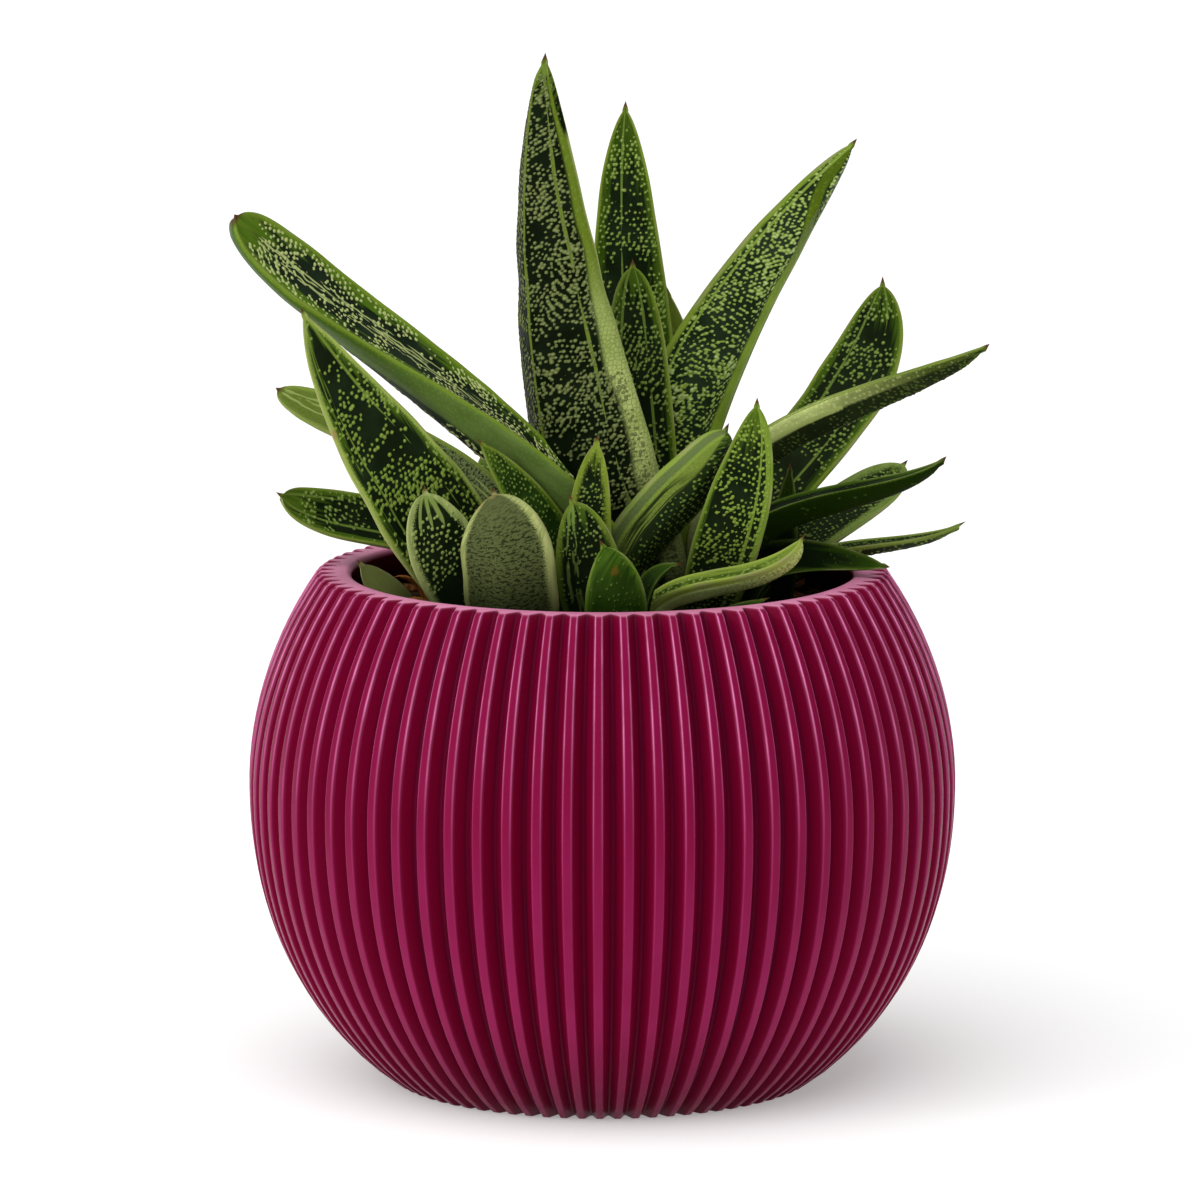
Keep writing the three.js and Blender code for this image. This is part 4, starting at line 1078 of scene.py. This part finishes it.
leafMaterials = {}
for number, (node, leaf) in enumerate(leaves.items()):
    lookName = leaf.get("look", leafShape["look"])
    look = {**leafMarks, **leafLooks[lookName]}
    if lookName not in leafMaterials:
        leafMaterials[lookName] = leafMaterial("leaf" + lookName.capitalize(), look)
    makeLeaf(node, leaf, leafMaterials[lookName], look, 11 + 40 * number)
print("leaves made:", len(leaves))


# Dried leaves at the left of the mouth
dryLeaves = {
    "dry_leaf_left": dict(
        path=[(-37, 3, 105), (-40, 1, 111), (-43, -1, 114.5), (-47, -2, 115)],
        faces=200, width=6, thick=1.8, hollow=0.0, spine=1, step=0.35, slot="dry_leaf",
    ),
    "dry_leaf_front_left": dict(
        path=[(-34, -12, 105), (-38, -13, 110), (-42, -14, 112), (-46, -14, 110)],
        faces=180, width=5, thick=1.6, hollow=0.0, spine=1, step=0.35, slot="dry_leaf",
    ),
}

dryLook = {
    **leafMarks,
    "cover": -2.0,
    "streaks": (),
    "relief": 0.0,
    "pale": (0.400, 0.150, 0.028),
    "brown": (0.120, 0.038, 0.008),
    "gloss": 0.06,
}


def dryMaterial(look):
    shade = Shading("dryLeaf")
    place = shade.read("place", "Vector")
    veins = shade.noise(place, 1.6, detail=4.0, stretch=(1.0, 0.15, 1.0))
    blotches = shade.noise(place, 0.45)
    tone = shade.mix(shade.ease(veins, 0.3, 0.7), look["brown"], look["pale"])
    tone = shade.mix(shade.ease(blotches, 0.45, 0.75, 0.0, 0.8), tone, look["brown"])
    rough = shade.ease(blotches, 0.3, 0.7, 0.62, 0.85)
    return shade.finish(tone, rough, shade.bump(veins, 0.0004, 0.6), look["gloss"])


dryLeafMaterial = dryMaterial(dryLook)
for number, (node, leaf) in enumerate(dryLeaves.items()):
    makeLeaf(node, leaf, dryLeafMaterial, dryLook, 3 + number)
print("dried leaves made")


# Soil: an uneven bed that fills the pot, with bark chips and crumbs strewn on it. Sizes are half lengths.
soil = {
    "level": 107.0,
    "clear": 0.64,
    "underClear": 0.32,
    "wallHeights": (34.0, 68.6, 96.0),
    "rings": 64,
    "spokes": 192,
    "swell": 1.6,
    "chips": 230,
    "chipSizes": ((1.6, 4.6), (1.1, 2.6), (0.5, 1.2)),
    "chipFromWall": 5.6,
    "crumbs": 900,
    "crumbSizes": ((0.35, 1.0), (0.3, 0.8), (0.25, 0.6)),
    "crumbFromWall": 1.9,
    "chipRings": 4,
    "chipSides": 6,
    "dents": 0.30,
    "tilt": 0.32,
    "rise": 0.25,           # a chip's middle stands this share of its thickness over the bed
    "seed": 7,
}

soilLook = {
    "dark": (0.012, 0.006, 0.003),
    "brown": (0.060, 0.028, 0.012),
    "bark": (0.270, 0.100, 0.025),
    "gloss": 0.06,
}


def soilHeight(x, y):
    # three layers of smooth noise, each finer and lower
    bumps = smoothNoise(x / 9.0, y / 9.0, 2) - 0.5
    bumps = bumps + 0.55 * (smoothNoise(x / 3.4, y / 3.4, 4) - 0.5)
    bumps = bumps + 0.30 * (smoothNoise(x / 1.3, y / 1.3, 6) - 0.5)
    return soil["level"] + soil["swell"] * bumps


def makeSoil(material):
    # rings up the pot's wall, then inwards over the top
    under = pot["floor"] + soil["underClear"]
    wall = potRadius(soil["level"]) - pot["wall"] - soil["clear"]
    angle = np.linspace(0, 2 * np.pi, soil["spokes"], endpoint=False)
    rings = []
    for z in (under, *soil["wallHeights"]):
        r = potRadius(z) - pot["wall"] - soil["clear"]
        rings.append(np.stack([r * np.cos(angle), r * np.sin(angle), np.full(len(angle), z)], axis=-1))
    for r in wall * np.linspace(0.02, 1.0, soil["rings"])[::-1]:
        x, y = r * np.cos(angle), r * np.sin(angle)
        rings.append(np.stack([x, y, soilHeight(x, y)], axis=-1))
    bed = np.concatenate(rings + [[[0, 0, under], [0, 0, soil["level"]]]])
    chips, chipFaces, chipTone = makeChips(len(bed))
    points = np.concatenate([bed, chips])
    faceSets = [*tubeFaces(len(rings), soil["spokes"]), chipFaces]
    tone = np.concatenate([np.zeros(len(bed)), chipTone])
    makePiece("barkSoil", points, faceSets, {"bark": tone}, material, "soil")


def makeChips(start):
    # each chip is a small lumpy lozenge of a few rings: a ball pressed to three half sizes, dented at random,
    # turned and half sunk
    draw = np.random.default_rng(soil["seed"])
    rings, sides = soil["chipRings"], soil["chipSides"]
    total = soil["chips"] + soil["crumbs"]
    big = np.arange(total) < soil["chips"]
    latitude = np.radians(np.linspace(-68, 68, rings))
    longitude = np.linspace(0, 2 * np.pi, sides, endpoint=False)
    ball = np.stack([
        np.cos(latitude)[:, None] * np.cos(longitude)[None, :],
        np.cos(latitude)[:, None] * np.sin(longitude)[None, :],
        np.sin(latitude)[:, None] * np.ones(sides)[None, :],
    ], axis=-1).reshape(-1, 3)
    ball = np.concatenate([ball, [[0, 0, -1.0], [0, 0, 1.0]]])
    dents = 1 + soil["dents"] * (draw.random((total, len(ball), 1)) - 0.5)
    chipSize = np.stack([draw.uniform(low, high, total) for low, high in soil["chipSizes"]], -1)
    crumbSize = np.stack([draw.uniform(low, high, total) for low, high in soil["crumbSizes"]], -1)
    size = np.where(big[:, None], chipSize, crumbSize)
    shapes = ball[None] * dents * size[:, None, :]
    yaw, tilt = draw.uniform(0, 2 * np.pi, total), draw.normal(0, soil["tilt"], total)
    y = shapes[..., 1] * np.cos(tilt)[:, None] - shapes[..., 2] * np.sin(tilt)[:, None]
    z = shapes[..., 1] * np.sin(tilt)[:, None] + shapes[..., 2] * np.cos(tilt)[:, None]
    x = shapes[..., 0] * np.cos(yaw)[:, None] - y * np.sin(yaw)[:, None]
    y = shapes[..., 0] * np.sin(yaw)[:, None] + y * np.cos(yaw)[:, None]
    fromWall = np.where(big, soil["chipFromWall"], soil["crumbFromWall"])
    reach = potRadius(soil["level"]) - pot["wall"] - fromWall
    radius = reach * np.sqrt(draw.uniform(0.04, 1.0, total))
    around = draw.uniform(0, 2 * np.pi, total)
    cx, cy = radius * np.cos(around), radius * np.sin(around)
    cz = soilHeight(cx, cy) + soil["rise"] * size[:, 2]
    points = np.stack([x + cx[:, None], y + cy[:, None], z + cz[:, None]], axis=-1)
    quads, *ends = tubeFaces(rings, sides)
    faces = np.concatenate([quads[:, [0, 1, 2]], quads[:, [0, 2, 3]], *ends])
    faces = faces[None] + (start + np.arange(total) * len(ball))[:, None, None]
    tone = np.where(big, draw.uniform(0.35, 1.0, total), draw.uniform(0.0, 0.6, total))
    return points.reshape(-1, 3), faces.reshape(-1, 3), np.repeat(tone, len(ball))


def soilMaterial(look):
    shade = Shading("barkSoil")
    place = shade.node("ShaderNodeTexCoord").outputs["Object"]
    clumps = shade.noise(place, 260.0, detail=5.0, roughness=0.65)
    fibres = shade.noise(place, 900.0, stretch=(1.0, 0.2, 1.0))
    peat = shade.mix(shade.ease(clumps, 0.35, 0.7), look["dark"], look["brown"])
    wood = shade.mix(shade.ease(fibres, 0.3, 0.7), look["brown"], look["bark"])
    tone = shade.mix(shade.ease(shade.read("bark"), 0.25, 0.95), peat, wood)
    rough = shade.ease(clumps, 0.3, 0.7, 0.75, 0.95)
    normal = shade.bump(fibres, 0.0002, 0.5, shade.bump(clumps, 0.0008, 0.6))
    return shade.finish(tone, rough, normal, look["gloss"])


makeSoil(soilMaterial(soilLook))
print("soil made")


# Studio: a pale floor, an even sky, a broad soft sun from the front left and a strip lamp at each side
studio = {
    "floorSize": 40.0,
    "floorTone": (0.85, 0.85, 0.85),
    "floorRough": 0.9,
    "floorGlow": 0.30,      # the floor is lit from below, which keeps it white and its shadows soft
    "skyTone": (1.0, 1.0, 1.0),
    "skyStrength": 0.36,
    "sunStrength": 2.15,
    "sunAngle": 75.0,
    "sunFrom": (-0.32, -0.55, 1.15),
    "lamps": {
        "leftStrip": {"at": (-1.2, -0.8, 0.55), "size": (0.30, 1.2), "power": 5.0},
        "rightStrip": {"at": (1.3, -0.9, 0.5), "size": (0.30, 1.2), "power": 1.2},
    },
    "aim": (0.0, 0.0, 0.12),
}


def placeLamp(name, data, at, aim):
    made = bpy.data.objects.new(name, data)
    made.location = at
    towards = [a - b for a, b in zip(aim, at)]
    across = math.hypot(towards[0], towards[1])
    made.rotation_euler = (math.atan2(across, -towards[2]), 0.0, math.atan2(-towards[0], towards[1]))
    bpy.context.scene.collection.objects.link(made)


def floorMaterial(setup):
    shade = Shading("paleFloor")
    shade.fill(shade.shader, {
        "Base Color": setup["floorTone"],
        "Roughness": setup["floorRough"],
        "Specular IOR Level": 0.0,
        "Emission Color": (1.0, 1.0, 1.0),
        "Emission Strength": setup["floorGlow"],
    })
    return shade.material


def makeStudio(setup):
    side = setup["floorSize"] / 2
    corners = [(-side, -side, 0), (side, -side, 0), (side, side, 0), (-side, side, 0)]
    mesh = bpy.data.meshes.new("floor")
    mesh.from_pydata(corners, [], [(0, 1, 2, 3)])
    mesh.materials.append(floorMaterial(setup))
    floor = bpy.data.objects.new("floor", mesh)
    bpy.context.scene.collection.objects.link(floor)
    world = bpy.data.worlds.new("studio")
    world.use_nodes = True
    sky = world.node_tree.nodes["Background"]
    sky.inputs["Color"].default_value = (*setup["skyTone"], 1.0)
    sky.inputs["Strength"].default_value = setup["skyStrength"]
    bpy.context.scene.world = world
    sun = bpy.data.lights.new("sun", "SUN")
    sun.energy = setup["sunStrength"]
    sun.angle = math.radians(setup["sunAngle"])
    placeLamp("sun", sun, setup["sunFrom"], (0.0, 0.0, 0.0))
    for name, lamp in setup["lamps"].items():
        data = bpy.data.lights.new(name, "AREA")
        data.shape = "RECTANGLE"
        data.size, data.size_y = lamp["size"]
        data.energy = lamp["power"]
        placeLamp(name, data, lamp["at"], setup["aim"])


makeStudio(studio)
bpy.context.scene.view_settings.view_transform = "Standard"
print("studio made")
